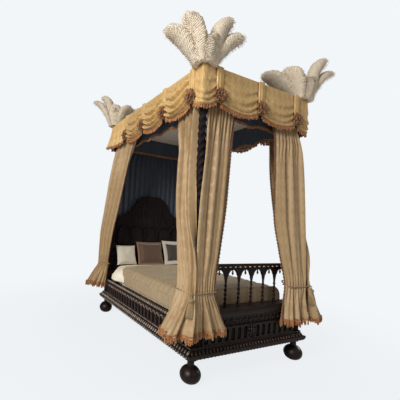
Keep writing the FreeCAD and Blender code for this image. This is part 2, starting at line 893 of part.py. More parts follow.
def rosette(place, along):
    """A gathered knot of cloth on a short stem."""
    centre = place(along, valance_cloth, rosette_height)
    outward = (place(along, 1.0, 0) - place(along, 0, 0)).normalize()
    stem = Part.makeCylinder(rosette_stem_radius, rosette_stand, centre, outward)
    seat = centre + outward * rosette_stand
    rim = Part.makeCone(rosette_radius * 0.8, rosette_radius, rosette_rise * 0.35, seat, outward)
    crown = Part.makeCone(rosette_radius, rosette_radius * 0.45, rosette_rise * 0.65,
                          seat + outward * (rosette_rise * 0.35), outward)
    return fused([stem, rim, crown])


def inner_valance():
    """The lining that hangs inside the canopy from the edge of its ceiling."""
    x = post_x - post_cap_block / 2 - inner_valance_inset
    y = post_y - post_cap_block / 2 - inner_valance_inset
    low = tester_bottom - inner_valance_drop
    head_low = tester_bottom - inner_valance_head_drop
    side = box(x - inner_valance_cloth, x, -y, y, low, tester_bottom)
    foot = box(-x + inner_valance_cloth, x - inner_valance_cloth, -y, -y + inner_valance_cloth,
               low, tester_bottom)
    head = box(-x + inner_valance_cloth, x - inner_valance_cloth, y - inner_valance_cloth, y,
               head_low, tester_bottom)
    return [side, mirror_x(side), foot, head]


# Curtains: pleated sheets through a few level outlines


def pleat_outline(start, end, pleats, depth, cloth):
    """A closed level outline of a pleated cloth that runs straight from start to end."""
    run = end.sub(start)
    across = Vector(run.y, -run.x, 0).normalize()
    count = 2 * pleats
    half = cloth / 2

    def spot(k, out):
        return start + run * (k / count) + across * out

    def wave(k):
        return depth if k % 2 == 0 else -depth

    edges = []
    for k in range(count):
        edges.append(arc(spot(k, half), spot(k + 0.5, half + wave(k)), spot(k + 1, half)))
    edges.append(line(spot(count, half), spot(count, -half)))
    for k in reversed(range(count)):
        edges.append(arc(spot(k + 1, -half), spot(k + 0.5, -half + wave(k)), spot(k, -half)))
    edges.append(line(spot(0, -half), spot(0, half)))
    return Part.Wire(edges)


def pleated_curtain(levels, pleats):
    """A cloth lofted through its levels, and the fringe under it."""
    wires = []
    for height, start, end, depth in levels:
        first = Vector(post_x + start[0], post_y + start[1], height)
        last = Vector(post_x + end[0], post_y + end[1], height)
        wires.append(pleat_outline(first, last, pleats, depth, curtain_cloth))
    cloth = Part.makeLoft(wires, True, True)
    fringe = Part.Face(wires[-1]).extrude(Vector(0, 0, -curtain_fringe))
    return [cloth, fringe]


rod_end = post_cap_block / 2 + rod_end_gap

# Level by level: height, where the cloth starts and ends as (outward X, outward Y) from the post's
# axis, and the depth of its pleats
side_curtain_levels = [
    (curtain_top, (0, -rod_end), (0, -rod_end - side_curtain_spread), 13.0),
    (curtain_high_level, (18, -75), (18, -365), 13.0),
    (curtain_middle_level, (62, -50), (62, -292), 11.0),
    (curtain_low_level, (90, 20), (88, -222), 10.0),
    (tie_height, (112, 72), (88, -150), 7.0),
    (curtain_skirt_level, (195, 82), (165, -165), 11.0),
    (curtain_hem, (305, 86), (262, -190), 13.0),
]

foot_curtain_levels = [
    (curtain_top, (-rod_end, 0), (-rod_end - foot_curtain_spread, 0), 13.0),
    (curtain_high_level, (-78, 18), (-412, 18), 13.0),
    (curtain_middle_level, (-52, 62), (-335, 62), 11.0),
    (curtain_low_level, (10, 88), (-252, 88), 10.0),
    (tie_height, (70, 108), (-145, 97), 7.0),
    (curtain_skirt_level, (110, 104), (-230, 100), 10.0),
    (curtain_hem, (215, 100), (-320, 98), 14.0),
]

head_curtain_levels = [
    (curtain_top, (0, -rod_end), (0, -rod_end - head_curtain_spread), 14.0),
    (curtain_high_level, (25, -55), (22, -610), 13.0),
    (curtain_middle_level, (75, -30), (50, -400), 10.0),
    (curtain_low_level, (115, 0), (70, -270), 7.0),
    (head_tie_height, (150, 55), (82, -118), 4.5),
    (curtain_skirt_level, (225, 65), (112, -145), 5.5),
    (curtain_hem, (340, 75), (150, -190), 10.0),
]


def cord_bend(corners, k, height):
    """Where a cord's rounded corner starts, its middle and where it ends."""
    u, v, radius = corners[k]
    before = corners[k - 1]
    after = corners[(k + 1) % len(corners)]
    here = Vector(post_x + u, post_y + v, height)
    back = Vector(before[0] - u, before[1] - v, 0).normalize()
    ahead = Vector(after[0] - u, after[1] - v, 0).normalize()
    half_angle = back.getAngle(ahead) / 2
    cut = radius / math.tan(half_angle)
    bisector = (back + ahead).normalize()
    middle = here + bisector * (radius / math.sin(half_angle) - radius)
    return here + back * cut, middle, here + ahead * cut


def tie_cord(corners, height):
    """A closed cord through rounded corners, level, round the curtains and the post."""
    bends = [cord_bend(corners, k, height) for k in range(len(corners))]
    edges = []
    for k, (start, middle, end) in enumerate(bends):
        next_start = bends[(k + 1) % len(bends)][0]
        edges.append(arc(start, middle, end))
        edges.append(line(end, next_start))
    path = Part.Wire(edges)
    first_end = bends[0][2]
    heading = (bends[1][0] - first_end).normalize()
    section = Part.Wire(Part.makeCircle(tie_cord_radius, first_end, heading))
    return path.makePipeShell([section], True, False)


foot_peg_direction = Vector(-1, -1, 0).normalize()
head_peg_direction = Vector(0.93, -0.366, 0).normalize()
peg_end = (foot_peg_reach - peg_end_gap) / math.sqrt(2)

# Corners of the tie cords: outward X and Y from the post's axis, and the radius of the bend
foot_tie_corners = [
    (150, 150, 36),
    (140, -168, 20),
    (60, -190, 20),
    (-peg_end, -peg_end, 30),
    (-178, 60, 20),
    (-164, 138, 20),
]

head_tie_corners = [
    (192, 90, 20),
    (106, -152, 20),
    (54, -132, 20),
    (124, 104, 20),
]


def tassel(corners, height):
    """A turned knob and a skirt of threads below a short cord, at the outer bend of a tie cord."""
    start, middle, end = cord_bend(corners, 0, height)
    outward = (middle * 2 - start - end).normalize()
    pivot = middle + outward * (tie_cord_radius + tassel_cord_radius + hanging_clearance)
    top = height
    knob_top = top - tassel_cord_length
    skirt_top = knob_top - 2 * tassel_knob_radius
    bottom = skirt_top - tassel_skirt_length
    profile = [
        (tassel_cord_radius, bottom),
        (tassel_skirt_radius, bottom),
        (tassel_skirt_radius * 0.82, skirt_top - tassel_skirt_length * 0.2),
        (tassel_knob_radius * 0.62, skirt_top),
        (tassel_knob_radius, knob_top - tassel_knob_radius),
        (tassel_cord_radius, knob_top),
        (tassel_cord_radius, top),
    ]
    return turned(profile, pivot.x, pivot.y)


# Plumes


def plume_cup():
    base = tester_top
    profile = [
        (cup_foot_radius, base),
        (cup_foot_radius, base + cup_height * 0.12),
        (cup_waist_radius, base + cup_height * 0.4),
        (cup_rim_radius, base + cup_height * 0.88),
        (cup_rim_radius, base + cup_height),
    ]
    x = half_width - tester_rail_thickness / 2
    y = half_length - tester_rail_thickness / 2
    return turned(profile, x, y)


def feather(turn, length, lean, curl, width, ring):
    """A curled ostrich feather; turn is its direction from the corner's outward diagonal."""
    heading = math.radians(45.0 + turn)
    outward = Vector(math.cos(heading), math.sin(heading), 0)
    across = Vector(-outward.y, outward.x, 0)
    x = half_width - tester_rail_thickness / 2
    y = half_length - tester_rail_thickness / 2
    spot = Vector(x, y, tester_top + cup_height) + outward * ring
    step = length / plume_sections
    reach = ring
    wires = []
    for k in range(plume_sections + 1):
        share = k / plume_sections
        bend = math.radians(lean * min(1.0, share * 4) + curl * share ** 2.6)
        along = outward * math.sin(bend) + Vector(0, 0, math.cos(bend))
        facing = outward * math.cos(bend) - Vector(0, 0, math.sin(bend))
        spread = math.sin(math.pi * min(1.0, 0.06 + 0.86 * share ** 0.9)) ** 0.8
        if ring > 0:
            room = 2 * reach * math.tan(math.pi / plume_outer_feathers) * plume_fill
        else:
            room = 2 * (plume_base_room + share * length * plume_core_growth)
        wide = min(width * spread, room)
        thick = wide * plume_thickness_share
        left = spot - across * (wide / 2)
        right = spot + across * (wide / 2)
        wires.append(Part.Wire([arc(left, spot + facing * (thick / 2), right),
                                arc(right, spot - facing * (thick / 2), left)]))
        spot = spot + along * step
        reach = reach + math.sin(bend) * step
    return Part.makeLoft(wires, True, True)


# direction, length, lean, curl, width and distance from the middle of the cup
feather_set = [
    (180.0, 600.0, 2.0, 130.0, 215.0, 0.0),
    (72.0, 575.0, 28.0, 125.0, 225.0, plume_base_ring),
    (-72.0, 575.0, 28.0, 125.0, 225.0, plume_base_ring),
    (144.0, 530.0, 33.0, 120.0, 210.0, plume_base_ring),
    (-144.0, 530.0, 33.0, 120.0, 210.0, plume_base_ring),
    (0.0, 550.0, 33.0, 125.0, 215.0, plume_base_ring),
]


def plume():
    return [feather(*sizes) for sizes in feather_set]


# Writing the pieces

corner_names = ["foot_left", "foot_right", "head_left", "head_right"]

save("bun_feet", *at_corners(bun_foot()))

foot_posts = at_corners(post(foot_rail_top, tie_height, foot_peg_reach, foot_peg_direction))
head_posts = at_corners(post(head_rail_top, head_tie_height, head_peg_reach, head_peg_direction))
for name, shape in zip(corner_names, foot_posts[:2] + head_posts[2:]):
    save("post_" + name, shape)

right_rail = side_rail()
save("side_rail_right", right_rail)
save("side_rail_left", mirror_x(right_rail))
save("foot_rail", mirror_y(end_rail(foot_rail_top)))
save("head_rail", end_rail(head_rail_top))

long_plinth = plinth_side(half_width, half_length)
short_plinth = turn_to_head(plinth_side(half_length, half_width))
save("plinth_moulding", long_plinth, mirror_x(long_plinth), short_plinth, mirror_y(short_plinth))

right_frieze = frieze(2 * inner_y, side_reed_pitch, half_width, side_rail_top)
save("frieze_right", right_frieze)
save("frieze_left", mirror_x(right_frieze))
end_frieze = turn_to_head(frieze(2 * inner_x, foot_reed_pitch, half_length, foot_rail_top))
save("frieze_foot", mirror_y(end_frieze))

right_capping = capping()
save("rail_capping", right_capping, mirror_x(right_capping))

save("footboard_lower_rail", mirror_y(footboard_lower_rail()))
save("footboard_top_rail", mirror_y(footboard_top_rail()))
save("footboard_arcade", mirror_y(footboard_arcade()))
spindle_places = [-inner_x + footboard_pitch * bay for bay in range(1, footboard_bays)]
save("footboard_spindles", *[mirror_y(footboard_spindle(x)) for x in spindle_places])

save("headboard_panel", headboard_panel())
save("headboard_crest", headboard_crest())

right_ledger = ledger()
save("slat_ledgers", right_ledger, mirror_x(right_ledger))
save("bed_slats", *slats())
bed = mattress()
save("mattress", bed)
save("coverlet", coverlet())

pillow_sizes = {
    "pillow_cream": (cream_pillow_width, cream_pillow_height, cream_pillow_thickness),
    "pillow_brown": (brown_pillow_width, brown_pillow_height, brown_pillow_thickness),
    "cushion_grey": (grey_cushion_width, grey_cushion_height, grey_cushion_thickness),
}
pillow_edge = -pillow_row / 2
for name, sizes in pillow_sizes.items():
    save(name, standing_pillow(sizes, pillow_edge, bed))
    pillow_edge += sizes[0] + pillow_gap

save("tester_frame", *tester_frame())
save("tester_ceiling", ceiling())
save("curtain_rods", *curtain_rods())

side_rings = rings(Vector(post_x, post_y - rod_end, 0),
                   Vector(post_x, post_y - rod_end - side_curtain_spread, 0))
foot_rings = rings(Vector(post_x - rod_end, post_y, 0),
                   Vector(post_x - rod_end - foot_curtain_spread, post_y, 0))
head_rings = rings(Vector(post_x, post_y - rod_end, 0),
                   Vector(post_x, post_y - rod_end - head_curtain_spread, 0))
side_curtain = pleated_curtain(side_curtain_levels, foot_curtain_pleats)
foot_curtain = pleated_curtain(foot_curtain_levels, foot_curtain_pleats)
head_curtain = pleated_curtain(head_curtain_levels, head_curtain_pleats)
hangings = [("side", side_rings, side_curtain, True), ("foot", foot_rings, foot_curtain, True),
            ("head", head_rings, head_curtain, False)]
for name, ring_set, cloths, at_foot in hangings:
    rings_right = [mirror_y(ring) for ring in ring_set] if at_foot else ring_set
    cloths_right = [mirror_y(cloth) for cloth in cloths] if at_foot else cloths
    save("rings_" + name + "_right", *rings_right)
    save("rings_" + name + "_left", *[mirror_x(ring) for ring in rings_right])
    save("curtain_" + name + "_right", *cloths_right)
    save("curtain_" + name + "_left", *[mirror_x(cloth) for cloth in cloths_right])

foot_ties = at_corners(tie_cord(foot_tie_corners, tie_height))
head_ties = at_corners(tie_cord(head_tie_corners, head_tie_height))
save("tieback_cords", *(foot_ties[:2] + head_ties[2:]))
foot_tassels = at_corners(tassel(foot_tie_corners, tie_height))
for name, shape in zip(corner_names, foot_tassels[:2]):
    save("tassel_" + name, shape)

right_valance = [mirror_y(solid) for solid in side_valance()]
save("valance_right", *right_valance)
save("valance_left", *[mirror_x(solid) for solid in right_valance])
save("valance_foot", *[mirror_y(solid) for solid in foot_valance()])
save("valance_head", *head_valance())
right_corner = [mirror_y(solid) for solid in corner_swag()]
save("corner_swag_right", *right_corner)
save("corner_swag_left", *[mirror_x(solid) for solid in right_corner])

side_fringe = [fringe_strip(on_side, a, b) for a, b in between(side_rosettes)] + corner_fringe()
right_fringe = [mirror_y(solid) for solid in side_fringe]
foot_fringe = [mirror_y(fringe_strip(on_foot, a, b)) for a, b in between(foot_rosettes)]
save("valance_fringe", *(right_fringe + [mirror_x(solid) for solid in right_fringe] + foot_fringe))

right_rosettes = [mirror_y(rosette(on_side, along)) for along in side_rosettes]
left_rosettes = [mirror_x(solid) for solid in right_rosettes]
end_rosettes = [mirror_y(rosette(on_foot, along)) for along in foot_rosettes]
save("valance_rosettes", *(right_rosettes + left_rosettes + end_rosettes))

save("inner_valance", *inner_valance())
drape_y = headboard_y + headboard_thickness + drape_depth + drape_cloth
drape_reach = post_x - post_block / 2 - rod_end_gap
drape_outline = pleat_outline(Vector(-drape_reach, drape_y, drape_bottom),
                              Vector(drape_reach, drape_y, drape_bottom),
                              drape_folds, drape_depth, drape_cloth)
save("back_drape", Part.Face(drape_outline).extrude(Vector(0, 0, tester_bottom - drape_bottom)))

save("plume_cups", *at_corners(plume_cup()))
feathers = plume()
plume_sets = [at_corners(solid) for solid in feathers]
for index, name in enumerate(corner_names):
    save("plume_" + name, *[copies[index] for copies in plume_sets])
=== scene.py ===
import json
import math
import random

import bpy
from mathutils import Matrix, Vector, noise
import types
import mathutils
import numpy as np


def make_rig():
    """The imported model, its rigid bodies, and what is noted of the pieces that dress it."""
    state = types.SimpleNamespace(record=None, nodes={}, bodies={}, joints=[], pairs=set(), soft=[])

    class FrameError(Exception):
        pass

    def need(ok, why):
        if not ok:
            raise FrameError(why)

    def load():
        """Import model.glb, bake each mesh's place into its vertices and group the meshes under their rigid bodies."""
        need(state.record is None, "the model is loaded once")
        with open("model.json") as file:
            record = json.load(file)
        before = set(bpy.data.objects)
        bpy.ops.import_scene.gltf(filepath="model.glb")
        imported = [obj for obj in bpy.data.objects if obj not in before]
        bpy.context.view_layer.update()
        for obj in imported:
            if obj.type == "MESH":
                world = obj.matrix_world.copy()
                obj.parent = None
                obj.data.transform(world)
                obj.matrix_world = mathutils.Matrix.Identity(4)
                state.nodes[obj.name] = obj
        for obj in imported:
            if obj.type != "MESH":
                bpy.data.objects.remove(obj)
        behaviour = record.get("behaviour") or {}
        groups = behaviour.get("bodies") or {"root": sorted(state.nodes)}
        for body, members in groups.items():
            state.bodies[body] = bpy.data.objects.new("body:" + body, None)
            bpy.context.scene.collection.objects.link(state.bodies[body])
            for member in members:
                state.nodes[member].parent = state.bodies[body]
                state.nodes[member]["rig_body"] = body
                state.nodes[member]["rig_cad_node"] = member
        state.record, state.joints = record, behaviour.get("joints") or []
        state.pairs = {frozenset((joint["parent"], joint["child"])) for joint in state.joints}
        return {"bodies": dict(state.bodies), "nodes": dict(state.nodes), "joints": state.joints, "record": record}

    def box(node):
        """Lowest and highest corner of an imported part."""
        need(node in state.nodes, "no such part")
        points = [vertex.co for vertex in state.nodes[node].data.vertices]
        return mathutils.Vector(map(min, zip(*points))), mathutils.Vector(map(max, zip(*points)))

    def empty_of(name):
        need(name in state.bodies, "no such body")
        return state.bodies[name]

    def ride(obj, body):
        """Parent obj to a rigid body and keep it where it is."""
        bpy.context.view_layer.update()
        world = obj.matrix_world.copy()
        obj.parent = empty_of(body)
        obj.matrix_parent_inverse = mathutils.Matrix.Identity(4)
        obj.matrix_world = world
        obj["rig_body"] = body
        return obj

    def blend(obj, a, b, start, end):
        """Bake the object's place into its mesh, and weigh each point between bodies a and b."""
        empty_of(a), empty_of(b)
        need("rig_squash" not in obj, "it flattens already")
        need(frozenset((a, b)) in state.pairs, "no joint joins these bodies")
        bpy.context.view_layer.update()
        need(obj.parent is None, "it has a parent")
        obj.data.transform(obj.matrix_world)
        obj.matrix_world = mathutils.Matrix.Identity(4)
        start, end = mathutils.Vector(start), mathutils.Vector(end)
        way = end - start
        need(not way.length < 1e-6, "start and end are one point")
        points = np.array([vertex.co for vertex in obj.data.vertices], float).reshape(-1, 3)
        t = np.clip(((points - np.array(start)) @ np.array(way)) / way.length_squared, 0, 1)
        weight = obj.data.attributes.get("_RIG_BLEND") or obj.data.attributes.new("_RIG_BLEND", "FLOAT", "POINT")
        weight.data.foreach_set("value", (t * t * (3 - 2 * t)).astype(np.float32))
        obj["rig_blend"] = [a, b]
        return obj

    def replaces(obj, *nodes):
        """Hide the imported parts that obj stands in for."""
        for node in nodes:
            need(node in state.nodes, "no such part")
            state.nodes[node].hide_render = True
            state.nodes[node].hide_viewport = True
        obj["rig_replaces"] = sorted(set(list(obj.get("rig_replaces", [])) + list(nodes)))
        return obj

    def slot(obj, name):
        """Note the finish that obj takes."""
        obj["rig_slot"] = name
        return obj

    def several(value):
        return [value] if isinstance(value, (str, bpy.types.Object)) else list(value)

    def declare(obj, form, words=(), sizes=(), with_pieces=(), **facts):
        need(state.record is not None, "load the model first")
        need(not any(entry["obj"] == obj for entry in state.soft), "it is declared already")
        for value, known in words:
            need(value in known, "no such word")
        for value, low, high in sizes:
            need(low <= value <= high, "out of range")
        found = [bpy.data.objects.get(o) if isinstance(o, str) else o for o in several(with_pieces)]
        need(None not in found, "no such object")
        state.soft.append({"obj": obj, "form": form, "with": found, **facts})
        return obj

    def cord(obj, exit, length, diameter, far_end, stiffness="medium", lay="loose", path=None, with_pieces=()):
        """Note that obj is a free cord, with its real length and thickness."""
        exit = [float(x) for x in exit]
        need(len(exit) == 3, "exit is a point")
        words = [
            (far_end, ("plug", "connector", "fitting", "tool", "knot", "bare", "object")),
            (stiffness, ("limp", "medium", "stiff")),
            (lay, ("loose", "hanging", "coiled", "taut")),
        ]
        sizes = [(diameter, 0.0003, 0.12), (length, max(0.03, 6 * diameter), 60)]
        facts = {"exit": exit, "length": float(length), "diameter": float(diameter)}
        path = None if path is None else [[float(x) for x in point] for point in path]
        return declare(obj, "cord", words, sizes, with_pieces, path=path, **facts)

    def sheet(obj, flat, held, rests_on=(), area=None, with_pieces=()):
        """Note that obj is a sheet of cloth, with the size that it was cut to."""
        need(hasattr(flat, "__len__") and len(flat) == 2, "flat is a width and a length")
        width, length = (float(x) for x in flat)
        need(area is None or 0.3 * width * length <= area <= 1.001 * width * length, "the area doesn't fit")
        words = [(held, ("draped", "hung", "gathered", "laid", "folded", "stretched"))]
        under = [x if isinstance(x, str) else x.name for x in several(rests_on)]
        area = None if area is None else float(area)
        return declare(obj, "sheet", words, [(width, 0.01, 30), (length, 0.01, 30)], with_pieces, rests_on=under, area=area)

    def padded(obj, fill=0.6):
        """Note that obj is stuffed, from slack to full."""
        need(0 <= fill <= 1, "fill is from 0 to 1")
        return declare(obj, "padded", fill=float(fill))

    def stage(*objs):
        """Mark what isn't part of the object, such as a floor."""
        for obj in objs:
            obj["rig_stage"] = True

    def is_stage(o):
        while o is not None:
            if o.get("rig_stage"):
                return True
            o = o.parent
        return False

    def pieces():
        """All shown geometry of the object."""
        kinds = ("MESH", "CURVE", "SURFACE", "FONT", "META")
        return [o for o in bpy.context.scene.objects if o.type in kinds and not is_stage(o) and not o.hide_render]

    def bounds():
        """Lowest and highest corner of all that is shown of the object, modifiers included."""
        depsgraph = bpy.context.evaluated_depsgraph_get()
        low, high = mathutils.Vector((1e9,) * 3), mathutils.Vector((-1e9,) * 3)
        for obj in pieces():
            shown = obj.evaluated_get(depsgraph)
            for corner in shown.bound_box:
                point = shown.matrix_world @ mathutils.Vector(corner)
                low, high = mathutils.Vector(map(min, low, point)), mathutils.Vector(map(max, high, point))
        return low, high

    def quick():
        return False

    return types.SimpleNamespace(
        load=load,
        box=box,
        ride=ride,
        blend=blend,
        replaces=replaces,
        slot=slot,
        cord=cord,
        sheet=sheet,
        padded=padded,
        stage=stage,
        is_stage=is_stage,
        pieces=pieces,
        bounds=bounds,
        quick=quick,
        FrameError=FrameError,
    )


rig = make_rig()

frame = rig.load()
cad_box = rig.bounds()

bl_info = {
    "name": "Canopy bed",
    "version": (1, 0, 0),
    "blender": (4, 5, 0),
    "location": "3D View > Sidebar > Bed",
    "description": "Dresses the packed four-poster bed with cloth, feathers, carving and finishes",
    "category": "Object",
}

# Places on the bed, in metres: the post axes, the canopy's faces and the cloths' heights
POST_X = 0.69
POST_Y = 1.09
CANOPY_X = 0.75
CANOPY_Y = 1.15
CANOPY_TOP = 2.99
CANOPY_BOTTOM = 2.84
SWAG_OUT = 0.008
SWAG_LOW_END = 2.636
SWAG_LOW_MIDDLE = 2.588
ROSETTE_HEIGHT = 2.705
ROSETTE_HOLD = 0.032
SIDE_ROSETTES = [-1.0, -0.473, 0.054, 0.581]
FOOT_ROSETTES = [-0.57, 0.0, 0.57]
CURTAIN_TOP = 2.7077
CURTAIN_HEM = 0.472
FOOT_TIE = 0.83
HEAD_TIE = 0.775
MATTRESS_X = 0.675
MATTRESS_FOOT = -0.925
MATTRESS_HEAD = 0.98
MATTRESS_EDGE = 0.64
MATTRESS_CROWN = 0.125
MATTRESS_SHOULDER = 0.11
# Half a post's block, the bays of the facings and the footboard, and the lower edges of the valance
POST_HALF = 0.06
SIDE_BAY = 0.0858
FOOT_BAY = 0.084
FOOTBOARD_BAYS = 7
BACK_CLOTH_LOW = 2.648
PLEAT_LOW = 2.612
PLEAT_HEM = 2.618
PLEAT_PAST = 0.012
UP = Vector((0, 0, 1))


def colour_setting(name, description, default):
    return bpy.props.FloatVectorProperty(
        name=name, description=description, subtype="COLOR", size=3, min=0, max=1, default=default)


class BedColours(bpy.types.PropertyGroup):
    """The colours of the bed's finishes."""

    silk: colour_setting("Gold silk", "Valance", (0.64, 0.43, 0.175))
    silk_shade: colour_setting("Silk pattern", "The woven pattern in the gold silk", (0.45, 0.26, 0.090))
    curtain: colour_setting("Pale silk", "Curtains", (0.46, 0.318, 0.170))
    curtain_shade: colour_setting("Pale silk pattern", "The pattern in the curtains", (0.36, 0.228, 0.108))
    fringe: colour_setting("Rust fringe", "Fringe and knots", (0.29, 0.098, 0.022))
    fringe_tip: colour_setting("Fringe tips", "The light threads in the fringe", (0.52, 0.24, 0.075))
    lining: colour_setting("Navy lining", "Lining of the canopy", (0.045, 0.062, 0.092))
    ceiling: colour_setting("Ceiling cloth", "Cloth under the tester", (0.70, 0.64, 0.56))
    sheet: colour_setting("Cream linen", "Mattress cover and pale pillow", (0.86, 0.79, 0.66))
    coverlet: colour_setting("Taupe silk", "Coverlet", (0.45, 0.335, 0.205))
    brown: colour_setting("Brown velvet", "The middle pillow", (0.095, 0.052, 0.031))
    grey: colour_setting("Grey velvet", "The cushion", (0.040, 0.033, 0.027))
    wood: colour_setting("Dark oak", "Carved woodwork", (0.0105, 0.0046, 0.0034))
    # Painted light: a pale oak that paints the highlights on the lit beads and fillets, and the light through the top
    # rail's piercings
    painted_light_oak: colour_setting("Painted light oak", "Painted light on beads, fillets and piercings", (0.11, 0.088, 0.072))
    plain_wood: colour_setting("Plain wood", "Slats and tester", (0.24, 0.15, 0.085))
    brass: colour_setting("Aged brass", "Rods and rings", (0.38, 0.27, 0.11))
    cord: colour_setting("Cream cord", "Tie cords and tassels", (0.40, 0.27, 0.13))
    feather: colour_setting("Feather", "Ostrich plumes", (0.80, 0.69, 0.54))


class BedSizes(bpy.types.PropertyGroup):
    """Sizes of the cloth and carving that a maker would change."""

    pleat_depth: bpy.props.FloatProperty(
        name="Pleat depth", description="How deep the curtains' pleats are, against the solids' pleats",
        default=1.55, min=0.5, max=3.0)
    cloth: bpy.props.FloatProperty(
        name="Cloth thickness", description="Thickness of the hangings", default=0.004, unit="LENGTH")
    fringe_pitch: bpy.props.FloatProperty(
        name="Fringe pitch", description="Distance between the fringe's tufts", default=0.013, unit="LENGTH")
    bead_pitch: bpy.props.FloatProperty(
        name="Bead pitch", description="Distance between the beads along the rails",
        default=0.042, unit="LENGTH")
    barb_rows: bpy.props.IntProperty(
        name="Barbs", description="Loose barbs on each feather", default=650)


# Small helpers


def colours():
    return bpy.context.scene.bed_colours


def sizes():
    return bpy.context.scene.bed_sizes


def smooth(low, high, value):
    """0 below low, 1 above high, and a smooth rise between."""
    share = min(1.0, max(0.0, (value - low) / (high - low)))
    return share * share * (3 - 2 * share)


def wander(x, y, z=0.0):
    """A smooth value from about -1 to 1 that changes with place."""
    return noise.noise(Vector((x, y, z)))


def deselect():
    if bpy.context.object is not None and bpy.context.object.mode != "OBJECT":
        bpy.ops.object.mode_set(mode="OBJECT")
    bpy.ops.object.select_all(action="DESELECT")


def take(piece):
    """Make a piece the only selected and the active object."""
    deselect()
    piece.hide_viewport = False
    piece.select_set(True)
    bpy.context.view_layer.objects.active = piece


def name_piece(piece, name):
    piece.name = name
    piece.data.name = name
    return piece


def modify(piece, kind, **values):
    """Add a modifier, set it and apply it."""
    take(piece)
    modifier = piece.modifiers.new(kind.lower(), kind)
    for key, value in values.items():
        setattr(modifier, key, value)
    bpy.ops.object.modifier_apply(modifier=modifier.name)


def mend_normals(piece):
    """Merge doubles and turn every face outwards."""
    take(piece)
    bpy.ops.object.mode_set(mode="EDIT")
    bpy.ops.mesh.select_all(action="SELECT")
    bpy.ops.mesh.remove_doubles(threshold=0.00002)
    bpy.ops.mesh.normals_make_consistent(inside=False)
    bpy.ops.object.mode_set(mode="OBJECT")


def shade_smooth(piece, degrees=50.0):
    take(piece)
    bpy.ops.object.shade_smooth_by_angle(angle=math.radians(degrees))


def lay_cloth(name, columns, rows, place, cut):
    """A grid whose points go where place(u, v) says; its UV map counts metres of the flat cut."""
    deselect()
    bpy.ops.mesh.primitive_grid_add(x_subdivisions=columns, y_subdivisions=rows, size=2)
    piece = name_piece(bpy.context.object, name)
    for vertex in piece.data.vertices:
        vertex.co = place((vertex.co.x + 1) / 2, (vertex.co.y + 1) / 2)
    for corner in piece.data.uv_layers.active.data:
        corner.uv = (corner.uv.x * cut[0], corner.uv.y * cut[1])
    return piece


def thicken(piece, thickness):
    modify(piece, "SOLIDIFY", thickness=thickness, offset=0.0)
    mend_normals(piece)
    shade_smooth(piece, 60.0)
    return piece


def join(pieces, name):
    take(pieces[0])
    for piece in pieces[1:]:
        piece.select_set(True)
    bpy.ops.object.join()
    return name_piece(bpy.context.object, name)


def add_object(name, data):
    made = bpy.data.objects.new(name, data)
    bpy.context.scene.collection.objects.link(made)
    return made


def mesh_object(name, points, faces):
    mesh = bpy.data.meshes.new(name)
    mesh.from_pydata(points, [], faces)
    return add_object(name, mesh)


def stamp(name, model, spots):
    """One piece with a copy of a small model at each matrix in spots; the model is removed."""
    points = [vertex.co.copy() for vertex in model.data.vertices]
    faces = [tuple(face.vertices) for face in model.data.polygons]
    all_points = []
    all_faces = []
    for spot in spots:
        start = len(all_points)
        all_points += [spot @ point for point in points]
        all_faces += [tuple(start + index for index in face) for face in faces]
    piece = mesh_object(name, all_points, all_faces)
    bpy.data.objects.remove(model)
    take(piece)
    bpy.ops.object.shade_smooth()
    return piece


def outward_faces(piece):
    take(piece)
    bpy.ops.object.mode_set(mode="EDIT")
    bpy.ops.mesh.select_all(action="SELECT")
    bpy.ops.mesh.normals_make_consistent(inside=False)
    bpy.ops.object.mode_set(mode="OBJECT")
    return piece


def bead_model(segments=8, rings=6, stretch=(1.0, 1.0, 1.0)):
    """A small carved bead of radius one, stretched."""
    deselect()
    bpy.ops.mesh.primitive_uv_sphere_add(segments=segments, ring_count=rings, radius=1.0)
    bead = bpy.context.object
    bpy.ops.transform.resize(value=stretch)
    bpy.ops.object.transform_apply(location=True, rotation=True, scale=True)
    return bead


def basis(place, x_axis, y_axis, z_axis):
    """A matrix that puts a model's axes along three directions at a place."""
    turn = Matrix((x_axis, y_axis, z_axis)).transposed().to_4x4()
    return Matrix.Translation(place) @ turn


def resample(points, pitch):
    """Points along a line at even distances, with the direction of the line at each."""
    lengths = [0.0]
    for a, b in zip(points, points[1:]):
        lengths.append(lengths[-1] + (b - a).length)
    count = max(1, round(lengths[-1] / pitch))
    found = []
    index = 0
    for step in range(count + 1):
        target = lengths[-1] * step / count
        while index < len(points) - 2 and lengths[index + 1] < target:
            index += 1
        run = max(1e-9, lengths[index + 1] - lengths[index])
        share = (target - lengths[index]) / run
        ahead = points[index + 1] - points[index]
        found.append((points[index].lerp(points[index + 1], share), ahead.normalized()))
    return found


def spline_route(name, points, steps):
    """A smooth curve led by control points."""
    curve = bpy.data.curves.new(name, "CURVE")
    curve.dimensions = "3D"
    curve.resolution_u = steps
    spline = curve.splines.new("NURBS")
    spline.points.add(len(points) - 1)
    for point, place in zip(spline.points, points):
        point.co = (*place, 1.0)
    spline.order_u = 3
    spline.use_endpoint_u = True
    return add_object(name, curve)


def tube(name, points, radius, sides=6):
    """A round tube along a smooth curve led by control points."""
    route = spline_route(name, points, 4)
    route.data.bevel_depth = radius
    route.data.bevel_resolution = max(0, sides // 2 - 2)
    route.data.use_fill_caps = True
    take(route)
    bpy.ops.object.convert(target="MESH")
    piece = name_piece(bpy.context.object, name)
    outward_faces(piece)
    shade_smooth(piece, 60.0)
    return piece


def block(name, cuts):
    """A cube from -1 to 1 with even cuts across its faces."""
    deselect()
    bpy.ops.mesh.primitive_cube_add(size=2)
    piece = name_piece(bpy.context.object, name)
    bpy.ops.object.mode_set(mode="EDIT")
    bpy.ops.mesh.select_all(action="SELECT")
    bpy.ops.mesh.subdivide(number_cuts=cuts)
    bpy.ops.object.mode_set(mode="OBJECT")
    return piece


